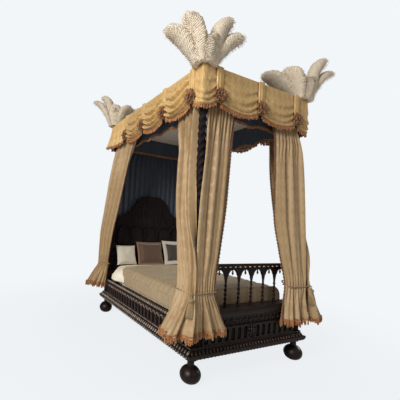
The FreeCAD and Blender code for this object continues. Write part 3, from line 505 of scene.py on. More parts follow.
def dress(piece, material, slot, body, *nodes):
    """Give a piece its finish, its body and the CAD nodes that it stands for."""
    piece.data.materials.clear()
    piece.data.materials.append(material)
    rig.slot(piece, slot)
    if body is not None:
        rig.ride(piece, body)
    if nodes:
        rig.replaces(piece, *nodes)
    return piece


def finish_node(name, material):
    """Give a CAD node that stays a better material."""
    node = frame["nodes"][name]
    node.data.materials.clear()
    node.data.materials.append(material)


# Shader helpers


def new_material(name):
    material = bpy.data.materials.new(name)
    material.use_nodes = True
    tree = material.node_tree
    return material, tree, tree.nodes["Principled BSDF"]


def feed(tree, socket, value):
    """Link a socket to another one, or set its value."""
    if isinstance(value, bpy.types.NodeSocket):
        tree.links.new(value, socket)
    else:
        socket.default_value = value


def feed_all(tree, node, values):
    for key, value in values.items():
        feed(tree, node.inputs[key], value)


def add(tree, kind, inputs=None, **settings):
    """A node with its settings and the values or links of its inputs."""
    made = tree.nodes.new(kind)
    for key, value in settings.items():
        setattr(made, key, value)
    feed_all(tree, made, inputs or {})
    return made


def math_node(tree, operation, a, b=0.0):
    return add(tree, "ShaderNodeMath", {0: a, 1: b}, operation=operation).outputs[0]


def times(tree, a, b):
    return math_node(tree, "MULTIPLY", a, b)


def plus(tree, a, b):
    return math_node(tree, "ADD", a, b)


def blend_colours(tree, share, a, b):
    """The first colour turned into the second by a share."""
    mix = add(tree, "ShaderNodeMix", data_type="RGBA")
    for key, kind, value in (("Factor", "VALUE", share), ("A", "RGBA", a), ("B", "RGBA", b)):
        socket = next(s for s in mix.inputs if (s.name, s.type) == (key, kind))
        feed(tree, socket, value)
    return next(s for s in mix.outputs if s.type == "RGBA")


def spread(tree, value, low, high, to_low=0.0, to_high=1.0):
    """A value taken from one range to another, held at the ends."""
    made = add(tree, "ShaderNodeMapRange", {0: value, 1: low, 2: high, 3: to_low, 4: to_high})
    return made.outputs[0]


def clouds(tree, vector, scale, detail, roughness=0.5):
    """A cloudy value that changes with place."""
    values = {"Vector": vector, "Scale": scale, "Detail": detail, "Roughness": roughness}
    return add(tree, "ShaderNodeTexNoise", values).outputs["Fac"]


def stretched(tree, vector, scale):
    return add(tree, "ShaderNodeMapping", {0: vector, 3: scale}).outputs[0]


def places(tree):
    """The UV and the object coordinates of a point."""
    made = add(tree, "ShaderNodeTexCoord")
    return made.outputs["UV"], made.outputs["Object"]


def bump(tree, shader, height, strength, distance):
    made = add(tree, "ShaderNodeBump", {"Height": height, "Strength": strength, "Distance": distance})
    feed(tree, shader.inputs["Normal"], made.outputs[0])


def toned(colour, scale):
    return [part * scale for part in colour]


def rgba(colour, scale=1.0):
    return (*toned(colour, scale), 1.0)


# Node groups


def new_group(name, numbers, results):
    """An empty shader node group that takes a vector and named numbers and gives named numbers."""
    group = bpy.data.node_groups.new(name, "ShaderNodeTree")
    group.interface.new_socket("Vector", in_out="INPUT", socket_type="NodeSocketVector")
    for number, default in numbers.items():
        made = group.interface.new_socket(number, in_out="INPUT", socket_type="NodeSocketFloat")
        made.default_value = default
    for result in results:
        group.interface.new_socket(result, in_out="OUTPUT", socket_type="NodeSocketFloat")
    start = group.nodes.new("NodeGroupInput")
    end = group.nodes.new("NodeGroupOutput")
    return group, start.outputs, end


def use_group(tree, name, **inputs):
    made = tree.nodes.new("ShaderNodeGroup")
    made.node_tree = bpy.data.node_groups[name]
    feed_all(tree, made, inputs)
    return made.outputs


def weave_group():
    """Crossing threads on a cloth's UV map, in metres."""
    group, given, end = new_group("cloth_weave", {"Threads": 900.0}, ["Height"])
    split = add(group, "ShaderNodeSeparateXYZ", {0: given["Vector"]})
    warp = math_node(group, "SINE", times(group, split.outputs[0], given["Threads"]))
    weft = math_node(group, "SINE", times(group, split.outputs[1], given["Threads"]))
    feed(group, end.inputs["Height"], times(group, warp, weft))


def damask_group():
    """A woven lattice of leaf shapes on a cloth's UV map, as on old silk."""
    group, given, end = new_group("damask", {"Repeat": 0.16}, ["Mask"])
    split = add(group, "ShaderNodeSeparateXYZ", {0: given["Vector"]})
    turn = math_node(group, "DIVIDE", 2 * math.pi, given["Repeat"])
    x = times(group, split.outputs[0], turn)
    y = times(group, split.outputs[1], times(group, turn, 0.62))
    swing = times(group, math_node(group, "SINE", y), 0.9)
    ogee = math_node(group, "COSINE", plus(group, x, swing))
    mirror = math_node(group, "COSINE", math_node(group, "SUBTRACT", x, swing))
    leaf_x = math_node(group, "COSINE", times(group, x, 3.0))
    leaf_y = math_node(group, "COSINE", times(group, y, 3.0))
    leaf = times(group, leaf_x, leaf_y)
    total = plus(group, times(group, ogee, mirror), times(group, leaf, 0.55))
    feed(group, end.inputs["Mask"], spread(group, total, 0.18, 0.42))


def grain_group():
    """Long streaks, pores and dust of oak, along the piece's Z unless the vector is turned."""
    group, given, end = new_group("oak_grain", {}, ["Streaks", "Pores", "Dust"])
    streaks = clouds(group, stretched(group, given["Vector"], (14.0, 14.0, 2.2)), 2.4, 6.0, 0.62)
    pores = clouds(group, stretched(group, given["Vector"], (150.0, 150.0, 12.0)), 1.6, 3.0)
    dust = clouds(group, given["Vector"], 9.0, 5.0)
    feed_all(group, end, {"Streaks": streaks, "Pores": pores, "Dust": dust})


# Finishes


def silk_material(name, ground, pattern, roughness, sheen):
    """A figured silk: a damask in two tones, threads, slubs and a little soil."""
    material, tree, shader = new_material(name)
    flat, place = places(tree)
    mask = use_group(tree, "damask", Vector=flat, Repeat=0.17)["Mask"]
    weave = use_group(tree, "cloth_weave", Vector=flat, Threads=2600.0)["Height"]
    slub = clouds(tree, stretched(tree, flat, (70.0, 4.0, 1.0)), 1.0, 4.0)
    soil = clouds(tree, place, 2.3, 3.0)
    tone = blend_colours(tree, times(tree, mask, 0.55), rgba(ground), rgba(pattern))
    streaked = blend_colours(tree, spread(tree, slub, 0.35, 0.7, 0.0, 0.22), tone, rgba(ground, 1.22))
    aged = blend_colours(tree, spread(tree, soil, 0.45, 0.75, 0.0, 0.4), streaked, rgba(pattern, 0.9))
    rough = spread(tree, mask, 0.0, 1.0, roughness - 0.06, roughness + 0.10)
    feed_all(tree, shader, {"Base Color": aged, "Roughness": rough, "Sheen Weight": sheen,
                            "Sheen Roughness": 0.45, "Sheen Tint": (1.0, 0.92, 0.75, 1.0)})
    bump(tree, shader, plus(tree, times(tree, weave, 0.25), plus(tree, slub, mask)), 0.22, 0.0015)
    return material


def plain_cloth(name, colour, threads, roughness, sheen):
    """A plain woven or piled cloth with threads, flecks and slight unevenness."""
    material, tree, shader = new_material(name)
    flat, place = places(tree)
    weave = use_group(tree, "cloth_weave", Vector=flat, Threads=threads)["Height"]
    patch = clouds(tree, place, 7.0, 5.0)
    fleck = clouds(tree, place, 260.0, 2.0)
    mottle = spread(tree, patch, 0.3, 0.7, 0.0, 0.25)
    shade = blend_colours(tree, mottle, rgba(colour, 1.12), rgba(colour, 0.66))
    flecked = blend_colours(tree, spread(tree, fleck, 0.45, 0.7, 0.0, 0.25), shade, rgba(colour, 1.45))
    rough = spread(tree, fleck, 0.3, 0.7, roughness - 0.08, roughness + 0.08)
    feed_all(tree, shader, {"Base Color": flecked, "Roughness": rough, "Sheen Weight": sheen,
                            "Sheen Roughness": 0.4})
    bump(tree, shader, plus(tree, times(tree, weave, 0.4), fleck), 0.3, 0.0012)
    return material


def thread_material(name, dark, light, scale, roughness=0.75):
    """Cut or twisted threads: two tones mixed thread by thread."""
    material, tree, shader = new_material(name)
    place = places(tree)[1]
    tone = clouds(tree, place, scale, 3.0)
    fibre = clouds(tree, place, scale * 9, 2.0)
    mixed = blend_colours(tree, spread(tree, tone, 0.42, 0.66), rgba(dark), rgba(light))
    rough = spread(tree, fibre, 0.3, 0.7, roughness - 0.1, roughness + 0.1)
    feed_all(tree, shader, {"Base Color": mixed, "Roughness": rough, "Sheen Weight": 0.35})
    bump(tree, shader, fibre, 0.4, 0.0015)
    return material


def wood_material(name, colour, turn, gloss, light=2.0, wax=0.10, shine=0.25):
    """Waxed oak: streaks, open pores, random lighter patches of wear and dust in the hollows."""
    material, tree, shader = new_material(name)
    laid = add(tree, "ShaderNodeMapping", {0: places(tree)[1], 2: turn}).outputs[0]
    grain = use_group(tree, "oak_grain", Vector=laid)
    streaks = spread(tree, grain["Streaks"], 0.35, 0.7)
    streaked = blend_colours(tree, streaks, rgba(colour, 0.62), rgba(colour, 1.75))
    # Random lighter patches of wear, on top of the colour given, which for the highlight finish is itself painted
    # light
    rub = spread(tree, grain["Dust"], 0.52, 0.74, 0.0, 0.55)
    rubbed = blend_colours(tree, rub, streaked, rgba(colour, light))
    dull = spread(tree, grain["Dust"], 0.3, 0.75, gloss - 0.08, gloss + 0.2)
    rough = plus(tree, dull, spread(tree, grain["Pores"], 0.55, 0.75, 0.0, 0.12))
    feed_all(tree, shader, {"Base Color": rubbed, "Roughness": rough, "Specular IOR Level": shine,
                            "Coat Weight": wax, "Coat Roughness": 0.28})
    bump(tree, shader, plus(tree, grain["Streaks"], times(tree, grain["Pores"], 0.7)), 0.25, 0.002)
    return material


def brass_material(name, colour):
    """Brass gone dull, brighter where it rubs."""
    material, tree, shader = new_material(name)
    tarnish = clouds(tree, places(tree)[1], 40.0, 5.0)
    tone = blend_colours(tree, spread(tree, tarnish, 0.4, 0.65), rgba(colour), rgba(colour, 0.35))
    rough = spread(tree, tarnish, 0.35, 0.7, 0.28, 0.6)
    feed_all(tree, shader, {"Base Color": tone, "Metallic": 1.0, "Roughness": rough})
    bump(tree, shader, tarnish, 0.1, 0.001)
    return material


def feather_material(name, colour):
    """Soft barbs: slanting stripes from the quill outwards, light and warm in turn."""
    material, tree, shader = new_material(name)
    flat, place = places(tree)
    split = add(tree, "ShaderNodeSeparateXYZ", {0: flat})
    aside = math_node(tree, "ABSOLUTE", math_node(tree, "SUBTRACT", split.outputs[0], 0.5))
    slant = math_node(tree, "SUBTRACT", split.outputs[1], times(tree, aside, 0.22))
    fluff = clouds(tree, place, 36.0, 6.0, 0.7)
    swing = times(tree, fluff, 9.0)
    stripe = math_node(tree, "SINE", plus(tree, times(tree, slant, 300.0), swing))
    tone = blend_colours(tree, spread(tree, stripe, -0.8, 0.9), rgba(colour, 0.74), rgba(colour, 1.12))
    soft = blend_colours(tree, spread(tree, fluff, 0.38, 0.62, 0.0, 0.4), tone, rgba(colour, 1.1))
    rough = spread(tree, fluff, 0.3, 0.7, 0.75, 0.95)
    feed_all(tree, shader, {"Base Color": soft, "Roughness": rough, "Sheen Weight": 0.3,
                            "Sheen Roughness": 0.5})
    bump(tree, shader, plus(tree, stripe, fluff), 0.6, 0.005)
    return material


FINISHES = {}
UPRIGHT = (0, 0, 0)
ALONG_X = (0, math.pi / 2, 0)
ALONG_Y = (math.pi / 2, 0, 0)


def make_cloths(tint):
    kinds = {
        "lining": ("navy_lining", tint.lining, 1800.0, 0.75, 0.08),
        "ceiling": ("ceiling_cloth", tint.ceiling, 1500.0, 0.8, 0.1),
        "sheet": ("cream_linen", tint.sheet, 1400.0, 0.78, 0.15),
        "pillow": ("pillow_linen", toned(tint.sheet, 0.66), 1400.0, 0.78, 0.15),
        "brown": ("brown_velvet", tint.brown, 2200.0, 0.7, 0.5),
        "tan": ("tan_velvet", toned(tint.brown, 2.2), 2200.0, 0.7, 0.4),
        "grey": ("grey_velvet", tint.grey, 2200.0, 0.7, 0.5),
    }
    for key, values in kinds.items():
        FINISHES[key] = plain_cloth(*values)
    kinds = {
        "silk": ("gold_silk", tint.silk, tint.silk_shade, 0.52, 0.35),
        "curtain": ("pale_silk", tint.curtain, tint.curtain_shade, 0.55, 0.3),
        "coverlet": ("taupe_silk", tint.coverlet, toned(tint.coverlet, 0.82), 0.40, 0.3),
    }
    for key, values in kinds.items():
        FINISHES[key] = silk_material(*values)


def make_threads(tint):
    kinds = {
        "fringe": ("rust_fringe", tint.fringe, tint.fringe_tip, 70.0),
        "knot": ("rust_knots", toned(tint.fringe, 0.42), tint.fringe, 45.0),
        "rosette": ("rust_rosette", toned(tint.fringe, 0.5), toned(tint.fringe_tip, 0.8), 75.0),
        "cord": ("cream_cord", toned(tint.cord, 0.6), tint.cord, 120.0, 0.6),
    }
    for key, values in kinds.items():
        FINISHES[key] = thread_material(*values)


def make_woods(tint):
    """Oak by the way its grain runs; shaded oak, the copy for the parts in shade, takes a little of the navy that
    hangs round it as a painted reflection.
    """
    shade_with_navy_reflection = [wood + 0.1 * navy for wood, navy in zip(tint.wood, tint.lining)]
    kinds = {
        "wood_upright": ("dark_oak_upright", tint.wood, UPRIGHT, 0.34),
        "wood_along_y": ("dark_oak_side", tint.wood, ALONG_Y, 0.34),
        "wood_along_x": ("dark_oak_end", tint.wood, ALONG_X, 0.34),
        # Painted light: pale ovals that paint the light showing through the top rail's piercings
        "inlay": ("pale_inlay", toned(tint.painted_light_oak, 5.0), UPRIGHT, 0.4, 1.1),
        # Painted light: oak painted lighter than plain oak, lit on the side friezes and the dimmer partner of the
        # painted highlights at the plinth's ends
        "carved": ("carved_oak", toned(tint.wood, 2.2), UPRIGHT, 0.34),
        # Painted highlight: pale oak for beads, ridges and arches on the lit sides, with the random wear that every
        # oak has
        "rubbed": ("rubbed_oak", toned(tint.painted_light_oak, 2.6), UPRIGHT, 0.3, 1.2),
        "shaded": ("shaded_oak", shade_with_navy_reflection, UPRIGHT, 0.6, 1.2, 0.0, 0.08),
        # Painted shade: near-black oak for the backing in the frieze slots, where shade falls
        "hollow": ("hollow_oak", toned(tint.wood, 0.25), UPRIGHT, 0.6, 1.2, 0.0),
        "plain_y": ("plain_wood_side", tint.plain_wood, ALONG_Y, 0.6, 1.3),
        "plain_x": ("plain_wood_end", tint.plain_wood, ALONG_X, 0.6, 1.3),
    }
    for key, values in kinds.items():
        FINISHES[key] = wood_material(*values)


def make_finishes():
    """Build the shared node groups and every finish once."""
    tint = colours()
    weave_group()
    damask_group()
    grain_group()
    make_cloths(tint)
    make_threads(tint)
    make_woods(tint)
    FINISHES["brass"] = brass_material("aged_brass", tint.brass)
    FINISHES["feather"] = feather_material("ostrich_feather", tint.feather)


# Stage

BACKDROP = (0.888, 0.922, 0.947, 1.0)


def camera():
    """A camera at the photograph's viewing angle; its frame is taken to be square."""
    data = bpy.data.cameras.new("camera")
    data.lens = 26.678
    data.sensor_width = 36.0
    data.shift_x = 0.15
    data.shift_y = 0.0175
    data.clip_end = 100.0
    azimuth = math.radians(-26.673)
    pitch = math.radians(3.035)
    roll = math.radians(3.361)
    eye = Vector((-2.46564, -3.37260, 1.43234))
    level_ahead = Vector((-math.sin(azimuth), math.cos(azimuth), 0))
    ahead = level_ahead * math.cos(pitch) + UP * math.sin(pitch)
    level = ahead.cross(UP).normalized()
    upright = level.cross(ahead)
    right = level * math.cos(roll) + upright * math.sin(roll)
    up = upright * math.cos(roll) - level * math.sin(roll)
    made = add_object("camera", data)
    made.matrix_world = basis(eye, right, up, -ahead)
    bpy.context.scene.camera = made


def mix_shaders(tree, share, first, second, output):
    """Lead a mix of two shaders to the output of a tree."""
    mix = add(tree, "ShaderNodeMixShader", {0: share, 1: first.outputs[0], 2: second.outputs[0]})
    feed(tree, tree.nodes[output].inputs["Surface"], mix.outputs[0])


def backdrop():
    """Soft light from all round, and a plain colour where the camera looks past the bed."""
    world = bpy.data.worlds.new("studio")
    bpy.context.scene.world = world
    world.use_nodes = True
    tree = world.node_tree
    light = tree.nodes["Background"]
    feed_all(tree, light, {"Color": (1.0, 0.985, 0.96, 1.0), "Strength": 0.16})
    plain = add(tree, "ShaderNodeBackground", {"Color": BACKDROP, "Strength": 1.0})
    path = add(tree, "ShaderNodeLightPath")
    mix_shaders(tree, path.outputs["Is Camera Ray"], light, plain, "World Output")


def floor():
    """A pale floor that keeps the bed's soft shadow and fades into the backdrop."""
    deselect()
    bpy.ops.mesh.primitive_plane_add(size=60.0, location=(0, 0, -0.001))
    made = name_piece(bpy.context.object, "stage_floor")
    material, tree, shader = new_material("pale_floor")
    feed_all(tree, shader, {"Base Color": (0.66, 0.68, 0.70, 1.0), "Roughness": 0.9})
    reach = add(tree, "ShaderNodeVectorMath", {0: places(tree)[1]}, operation="LENGTH").outputs["Value"]
    path = add(tree, "ShaderNodeLightPath")
    share = times(tree, spread(tree, reach, 1.6, 4.2, 0.90, 1.0), path.outputs["Is Camera Ray"])
    plain = add(tree, "ShaderNodeEmission", {"Color": BACKDROP, "Strength": 1.0})
    mix_shaders(tree, share, shader, plain, "Material Output")
    made.data.materials.append(material)
    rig.stage(made)


def lamp(name, place, aim, size, power, colour):
    data = bpy.data.lights.new(name, "AREA")
    data.size = size
    data.energy = power
    data.color = colour
    made = add_object(name, data)
    toward = (Vector(aim) - Vector(place)).normalized()
    made.matrix_world = Matrix.Translation(place) @ toward.to_track_quat("-Z", "Y").to_matrix().to_4x4()


# Woodwork

WOODEN_NODES = {
    "wood_along_y": ["side_rail_left", "side_rail_right", "rail_capping", "frieze_left", "frieze_right"],
    "wood_along_x": ["foot_rail", "head_rail", "footboard_lower_rail", "footboard_top_rail",
                     "footboard_arcade", "frieze_foot", "plinth_moulding"],
    "wood_upright": ["bun_feet"],
    "shaded": ["post_foot_left", "post_foot_right", "post_head_left", "post_head_right", "headboard_panel",
               "headboard_crest", "plume_cups"],
    "plain_x": ["bed_slats"],
    "plain_y": ["slat_ledgers", "tester_frame"],
}


def finish_woodwork():
    for finish, names in WOODEN_NODES.items():
        for name in names:
            finish_node(name, FINISHES[finish])


def dress_wood(piece, finish, *nodes):
    dress(piece, FINISHES[finish], "dark_wood", "bedstead", *nodes)


def face_frames(half_x, half_y, head=False):
    """Left, right and foot faces as (start, direction, outward, length); the head's too where asked."""
    faces = [
        (Vector((-half_x, half_y, 0)), Vector((0, -1, 0)), Vector((-1, 0, 0)), 2 * half_y),
        (Vector((half_x, -half_y, 0)), Vector((0, 1, 0)), Vector((1, 0, 0)), 2 * half_y),
        (Vector((-half_x, -half_y, 0)), Vector((1, 0, 0)), Vector((0, -1, 0)), 2 * half_x),
    ]
    if head:
        faces.append((Vector((half_x, half_y, 0)), Vector((-1, 0, 0)), Vector((0, 1, 0)), 2 * half_x))
    return faces


def row_spots(faces, pitch, height, margin=0.0):
    """Matrices at even steps along faces: X along the face, Y outwards, Z up."""
    spots = []
    for start, along, outward, length in faces:
        run = length - 2 * margin
        count = max(1, round(run / pitch))
        for k in range(count):
            place = start + along * (margin + run * (k + 0.5) / count) + UP * height
            spots.append(basis(place, outward.cross(UP), outward, UP))
    return spots


def gadroons():
    """Long lobes that lean back up the hollow of the plinth."""
    faces = face_frames(CANOPY_X + 0.041, CANOPY_Y + 0.041, head=True)
    lean = Matrix.Rotation(math.radians(24.0), 4, "X")
    # The sides take oak painted with highlights where the light falls on them; the ends take the dimmer half-lit oak
    for name, run, finish in (("sides", faces[:2], "rubbed"), ("ends", faces[2:], "carved")):
        lobe = bead_model(8, 6, (0.0125, 0.011, 0.040))
        spots = [spot @ lean for spot in row_spots(run, 0.042, 0.266, 0.012)]
        piece = stamp("plinth_gadroons_" + name, lobe, spots)
        dress_wood(piece, finish)


def plinth_fillet():
    """A thin bead where the facings meet the plinth, painted with highlights on the sides and in the dimmer half-lit
    oak at the foot.
    """
    faces = face_frames(CANOPY_X + 0.015, CANOPY_Y + 0.015)
    for name, run, finish in (("sides", faces[:2], "rubbed"), ("foot", faces[2:], "carved")):
        bead = bead_model(6, 4, (0.030, 0.0045, 0.0045))
        piece = stamp("plinth_fillet_" + name, bead, row_spots(run, 0.040, 0.319))
        dress_wood(piece, finish)


def capping_beads():
    """The row of beads along the nose of the capping, in pale oak painted with highlights."""
    bead = bead_model(8, 6, (0.0120, 0.0115, 0.0150))
    sides = face_frames(CANOPY_X + 0.0135, POST_Y - POST_HALF)[:2]
    piece = stamp("capping_beads", bead, row_spots(sides, sizes().bead_pitch, 0.5170))
    dress_wood(piece, "rubbed")


NICHE_STEPS = 8
NICHE_DEPTH = 0.014


def half_ring(radius, wire, thick):
    """A round arch, one radius high, standing in its own X-Z plane."""
    deselect()
    bpy.ops.mesh.primitive_torus_add(
        major_radius=radius, minor_radius=wire, major_segments=20, minor_segments=6)
    ring = bpy.context.object
    bpy.ops.object.mode_set(mode="EDIT")
    bpy.ops.mesh.select_all(action="SELECT")
    bpy.ops.mesh.bisect(plane_co=(0, 0, 0), plane_no=(0, 1, 0), clear_inner=True, use_fill=True)
    bpy.ops.object.mode_set(mode="OBJECT")
    for vertex in ring.data.vertices:
        x, y, z = vertex.co
        vertex.co = (x, z * thick, y)
    return ring


def niche_loops(width, low, high, half, sill, spring):
    """The rim of an arched slot and the panel's edge that faces it, both from the sill's left end."""
    arch = [math.pi * k / NICHE_STEPS for k in range(NICHE_STEPS + 1)]
    rim = [(-half, sill), (half, sill)] + [(half * math.cos(a), spring + half * math.sin(a)) for a in arch]
    edge = [(-width / 2, low), (width / 2, low)]
    for a in arch:
        sideways = width / 2 / max(1e-6, abs(math.cos(a)))
        upwards = (high - spring) / max(1e-6, math.sin(a))
        reach = min(sideways, upwards)
        edge.append((reach * math.cos(a), spring + reach * math.sin(a)))
    return rim, edge


def niche_model(width, low, high, half, sill, spring):
    """One bay of a facing: a panel with an arched slot through it."""
    rim, edge = niche_loops(width, low, high, half, sill, spring)
    count = len(rim)
    points = [(x, 0, z) for x, z in rim + edge]
    faces = [(k, (k + 1) % count, count + (k + 1) % count, count + k) for k in range(count)]
    model = mesh_object("niche_model", points, faces)
    modify(model, "SOLIDIFY", thickness=NICHE_DEPTH, offset=0.0)
    modify(model, "BEVEL", width=0.0035, segments=2, limit_method="ANGLE")
    mend_normals(model)
    return model


def frieze_screen(name, faces, pitch, low, high, spring, finish):
    """A row of arched slots over a facing, with a near-black backing behind them that paints the shade inside the
    slots.
    """
    half = 0.29 * pitch
    spots = row_spots(faces, pitch, 0.0)
    screen = outward_faces(stamp(name, niche_model(pitch, low, high, half, low + 0.014, spring), spots))
    shade_smooth(screen, 40.0)
    dress_wood(screen, finish)
    # The backing paints the shade inside the slots
    deselect()
    bpy.ops.mesh.primitive_grid_add(x_subdivisions=1, y_subdivisions=1, size=1)
    back = bpy.context.object
    for vertex in back.data.vertices:
        vertex.co = (vertex.co.x * pitch, -0.004, low + (vertex.co.y + 0.5) * (high - low))
    ground = stamp(name + "_painted_shade", back, spots)
    modify(ground, "SOLIDIFY", thickness=0.002, offset=0.0)
    dress_wood(ground, "hollow")


def frieze_screens():
    sides = face_frames(CANOPY_X + 0.008, POST_Y - POST_HALF)[:2]
    foot = face_frames(POST_X - POST_HALF, CANOPY_Y + 0.008)[2:]
    # The side friezes take the lighter half-lit oak and the foot frieze plain oak: painted light on the lit sides
    frieze_screen("frieze_screen_sides", sides, SIDE_BAY, 0.324, 0.488, 0.442, "carved")
    frieze_screen("frieze_screen_foot", foot, FOOT_BAY, 0.324, 0.478, 0.434, "wood_upright")


def slot_arches():
    """Rings round the heads of the slots in the side facings, painted with highlights where the light catches them."""
    sides = face_frames(CANOPY_X + 0.017, POST_Y - POST_HALF)[:2]
    spots = row_spots(sides, SIDE_BAY, 0.440)
    rings = outward_faces(stamp("frieze_slot_arches", half_ring(0.0275, 0.0048, 1.0), spots))
    dress_wood(rings, "rubbed")


def frieze_cartouche():
    """A carved boss with leaves in the middle of the foot facing."""
    leaf = bead_model(8, 6)
    middle = Vector((0, -CANOPY_Y - 0.020, 0.408))
    spots = [basis(middle, Vector((0.026, 0, 0)), Vector((0, -0.014, 0)), Vector((0, 0, 0.032)))]
    for k in range(8):
        angle = math.pi / 8 + math.pi * k / 4
        out = Vector((math.cos(angle), 0, math.sin(angle)))
        across = Vector((-out.z, 0, out.x))
        spots.append(basis(middle + out * 0.044, out * 0.024, Vector((0, -0.009, 0)), across * 0.012))
    piece = outward_faces(stamp("frieze_cartouche", leaf, spots))
    dress_wood(piece, "wood_upright")


def lunettes():
    """Half rings with a bead in each, over the slots of the foot facing."""
    foot = face_frames(POST_X - POST_HALF, CANOPY_Y + 0.004)[2:]
    ring = half_ring(0.031, 0.0065, 1.2)
    rings = outward_faces(stamp("footboard_lunettes", ring, row_spots(foot, FOOT_BAY, 0.497)))
    dress_wood(rings, "wood_along_x")
    bead = bead_model(8, 6, (0.014, 0.009, 0.014))
    beads = stamp("footboard_lunette_beads", bead, row_spots(foot, FOOT_BAY, 0.509))
    dress_wood(beads, "wood_along_x")


def top_rail_roundels():
    """Small pale ovals let into both faces of the footboard's top rail, painting the light that shows through its
    piercings.
    """
    low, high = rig.box("footboard_top_rail")
    spots = []
    run = high.x - low.x - 0.04
    for y, outward in ((low.y, -1), (high.y, 1)):
        face = (Vector((low.x + 0.02, y, 0)), Vector((1, 0, 0)), Vector((0, outward, 0)), run)
        spots += row_spots([face], 0.070, low.z + 0.010)
    piece = outward_faces(stamp("top_rail_roundels", bead_model(8, 6, (0.015, 0.005, 0.0065)), spots))
    dress_wood(piece, "inlay")


def lathe(name, profile, steps):
    """A turned shape about Z from (radius, height) points, spun with the spin operator."""
    deselect()
    bpy.ops.mesh.primitive_plane_add(size=0.001)
    piece = name_piece(bpy.context.object, name)
    mesh = piece.data
    mesh.clear_geometry()
    points = [(radius, 0, height) for radius, height in profile]
    mesh.from_pydata(points, [(k, k + 1) for k in range(len(points) - 1)], [])
    bpy.ops.object.mode_set(mode="EDIT")
    bpy.ops.mesh.select_all(action="SELECT")
    bpy.ops.mesh.spin(steps=steps, angle=2 * math.pi, center=(0, 0, 0), axis=(0, 0, 1))
    bpy.ops.mesh.select_all(action="SELECT")
    bpy.ops.mesh.remove_doubles(threshold=0.00005)
    bpy.ops.mesh.normals_make_consistent(inside=False)
    bpy.ops.object.mode_set(mode="OBJECT")
    return piece


def footboard_spots(first, count, height):
    """Matrices along the footboard's arcade, one bay apart, from a share of a bay in from the post."""
    low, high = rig.box("footboard_arcade")
    pitch = 2 * (POST_X - POST_HALF) / FOOTBOARD_BAYS
    middle = (low.y + high.y) / 2
    places_x = [-POST_X + POST_HALF + pitch * (k + first) for k in range(count)]
    return [Matrix.Translation((x, middle, height)) for x in places_x]


def arcade_pendants():
    """Turned drops that hang in the middle of the footboard's arches."""
    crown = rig.box("footboard_arcade")[0].z + 0.062
    profile = [(0.0, -0.058), (0.004, -0.054), (0.0105, -0.040), (0.012, -0.034), (0.006, -0.022),
               (0.009, -0.016), (0.005, -0.008), (0.008, 0.002), (0.0, 0.003)]
    drop = lathe("pendant_model", profile, 10)
    piece = stamp("arcade_pendants", drop, footboard_spots(0.5, FOOTBOARD_BAYS, crown))
    dress_wood(piece, "wood_upright")


def spindle_model():
    """A spindle: a two-strand twist below a collar, and a plain neck that opens into the arches."""
    low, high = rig.box("footboard_spindles")
    collar = low.z + 0.66 * (high.z - low.z)

    def place(u, v):
        angle = 2 * math.pi * u
        height = low.z + (high.z - low.z) * v
        ring = 0.005 * math.exp(-((height - collar) / 0.007) ** 2)
        neck = smooth(collar + 0.01, high.z, height)
        twist = 2 * angle - 2 * math.pi * height / 0.045
        strand = 0.0058 * math.cos(twist) * smooth(collar, collar - 0.02, height)
        foot = 0.006 * smooth(low.z + 0.02, low.z, height)
        wide = 0.0105 + strand + ring + foot + 0.0135 * neck ** 1.6
        deep = 0.0105 + strand + ring + foot + 0.0040 * neck
        return Vector((math.cos(angle) * wide, math.sin(angle) * deep, height))
    model = lay_cloth("spindle_model", 20, 72, place, (0.06, high.z - low.z))
    mend_normals(model)
    return model


def spindles():
    piece = stamp("twisted_spindles", spindle_model(), footboard_spots(1, FOOTBOARD_BAYS - 1, 0))
    dress_wood(piece, "wood_upright", "footboard_spindles")


def headboard_arcade():
    """A row of round arches on turned colonnettes, carved on the headboard."""
    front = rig.box("headboard_panel")[0].y
    pitch = 0.24
    count = 5
    profile = [(0.0, 0.0), (0.022, 0.0), (0.022, 0.02), (0.013, 0.03), (0.015, 0.10), (0.010, 0.32),
               (0.018, 0.335), (0.022, 0.36), (0.0, 0.36)]
    spots = [Matrix.Translation(((k - count / 2) * pitch, front, 0.90)) for k in range(count + 1)]
    columns = stamp("headboard_colonnettes", lathe("colonnette_model", profile, 12), spots)
    dress_wood(columns, "shaded")
    spots = [Matrix.Translation((k * pitch - (count - 1) * pitch / 2, front, 1.255)) for k in range(count)]
    arches = outward_faces(stamp("headboard_arches", half_ring(pitch / 2, 0.013, 1.0), spots))
    dress_wood(arches, "shaded")


# Canopy cloths


def side_face(sign):
    """A function that turns (along, out, height) into a point on the canopy's left or right side."""
    return lambda along, out, height: Vector((sign * (CANOPY_X + out), along, height))


def foot_face(along, out, height):
    return Vector((along, -(CANOPY_Y + out), height))


def head_face(along, out, height):
    return Vector((along, CANOPY_Y + out, height))


def swag_sag(u):
    return 4 * u * (1 - u)


def swag_low(u):
    return SWAG_LOW_END + (SWAG_LOW_MIDDLE - SWAG_LOW_END) * swag_sag(u)


def fold_lip(fold):
    """One hanging fold: the cloth swells downwards and tucks back sharply under its lower edge."""
    share = fold % 1.0
    return smooth(0.0, 0.78, share) if share < 0.78 else smooth(1.0, 0.78, share)


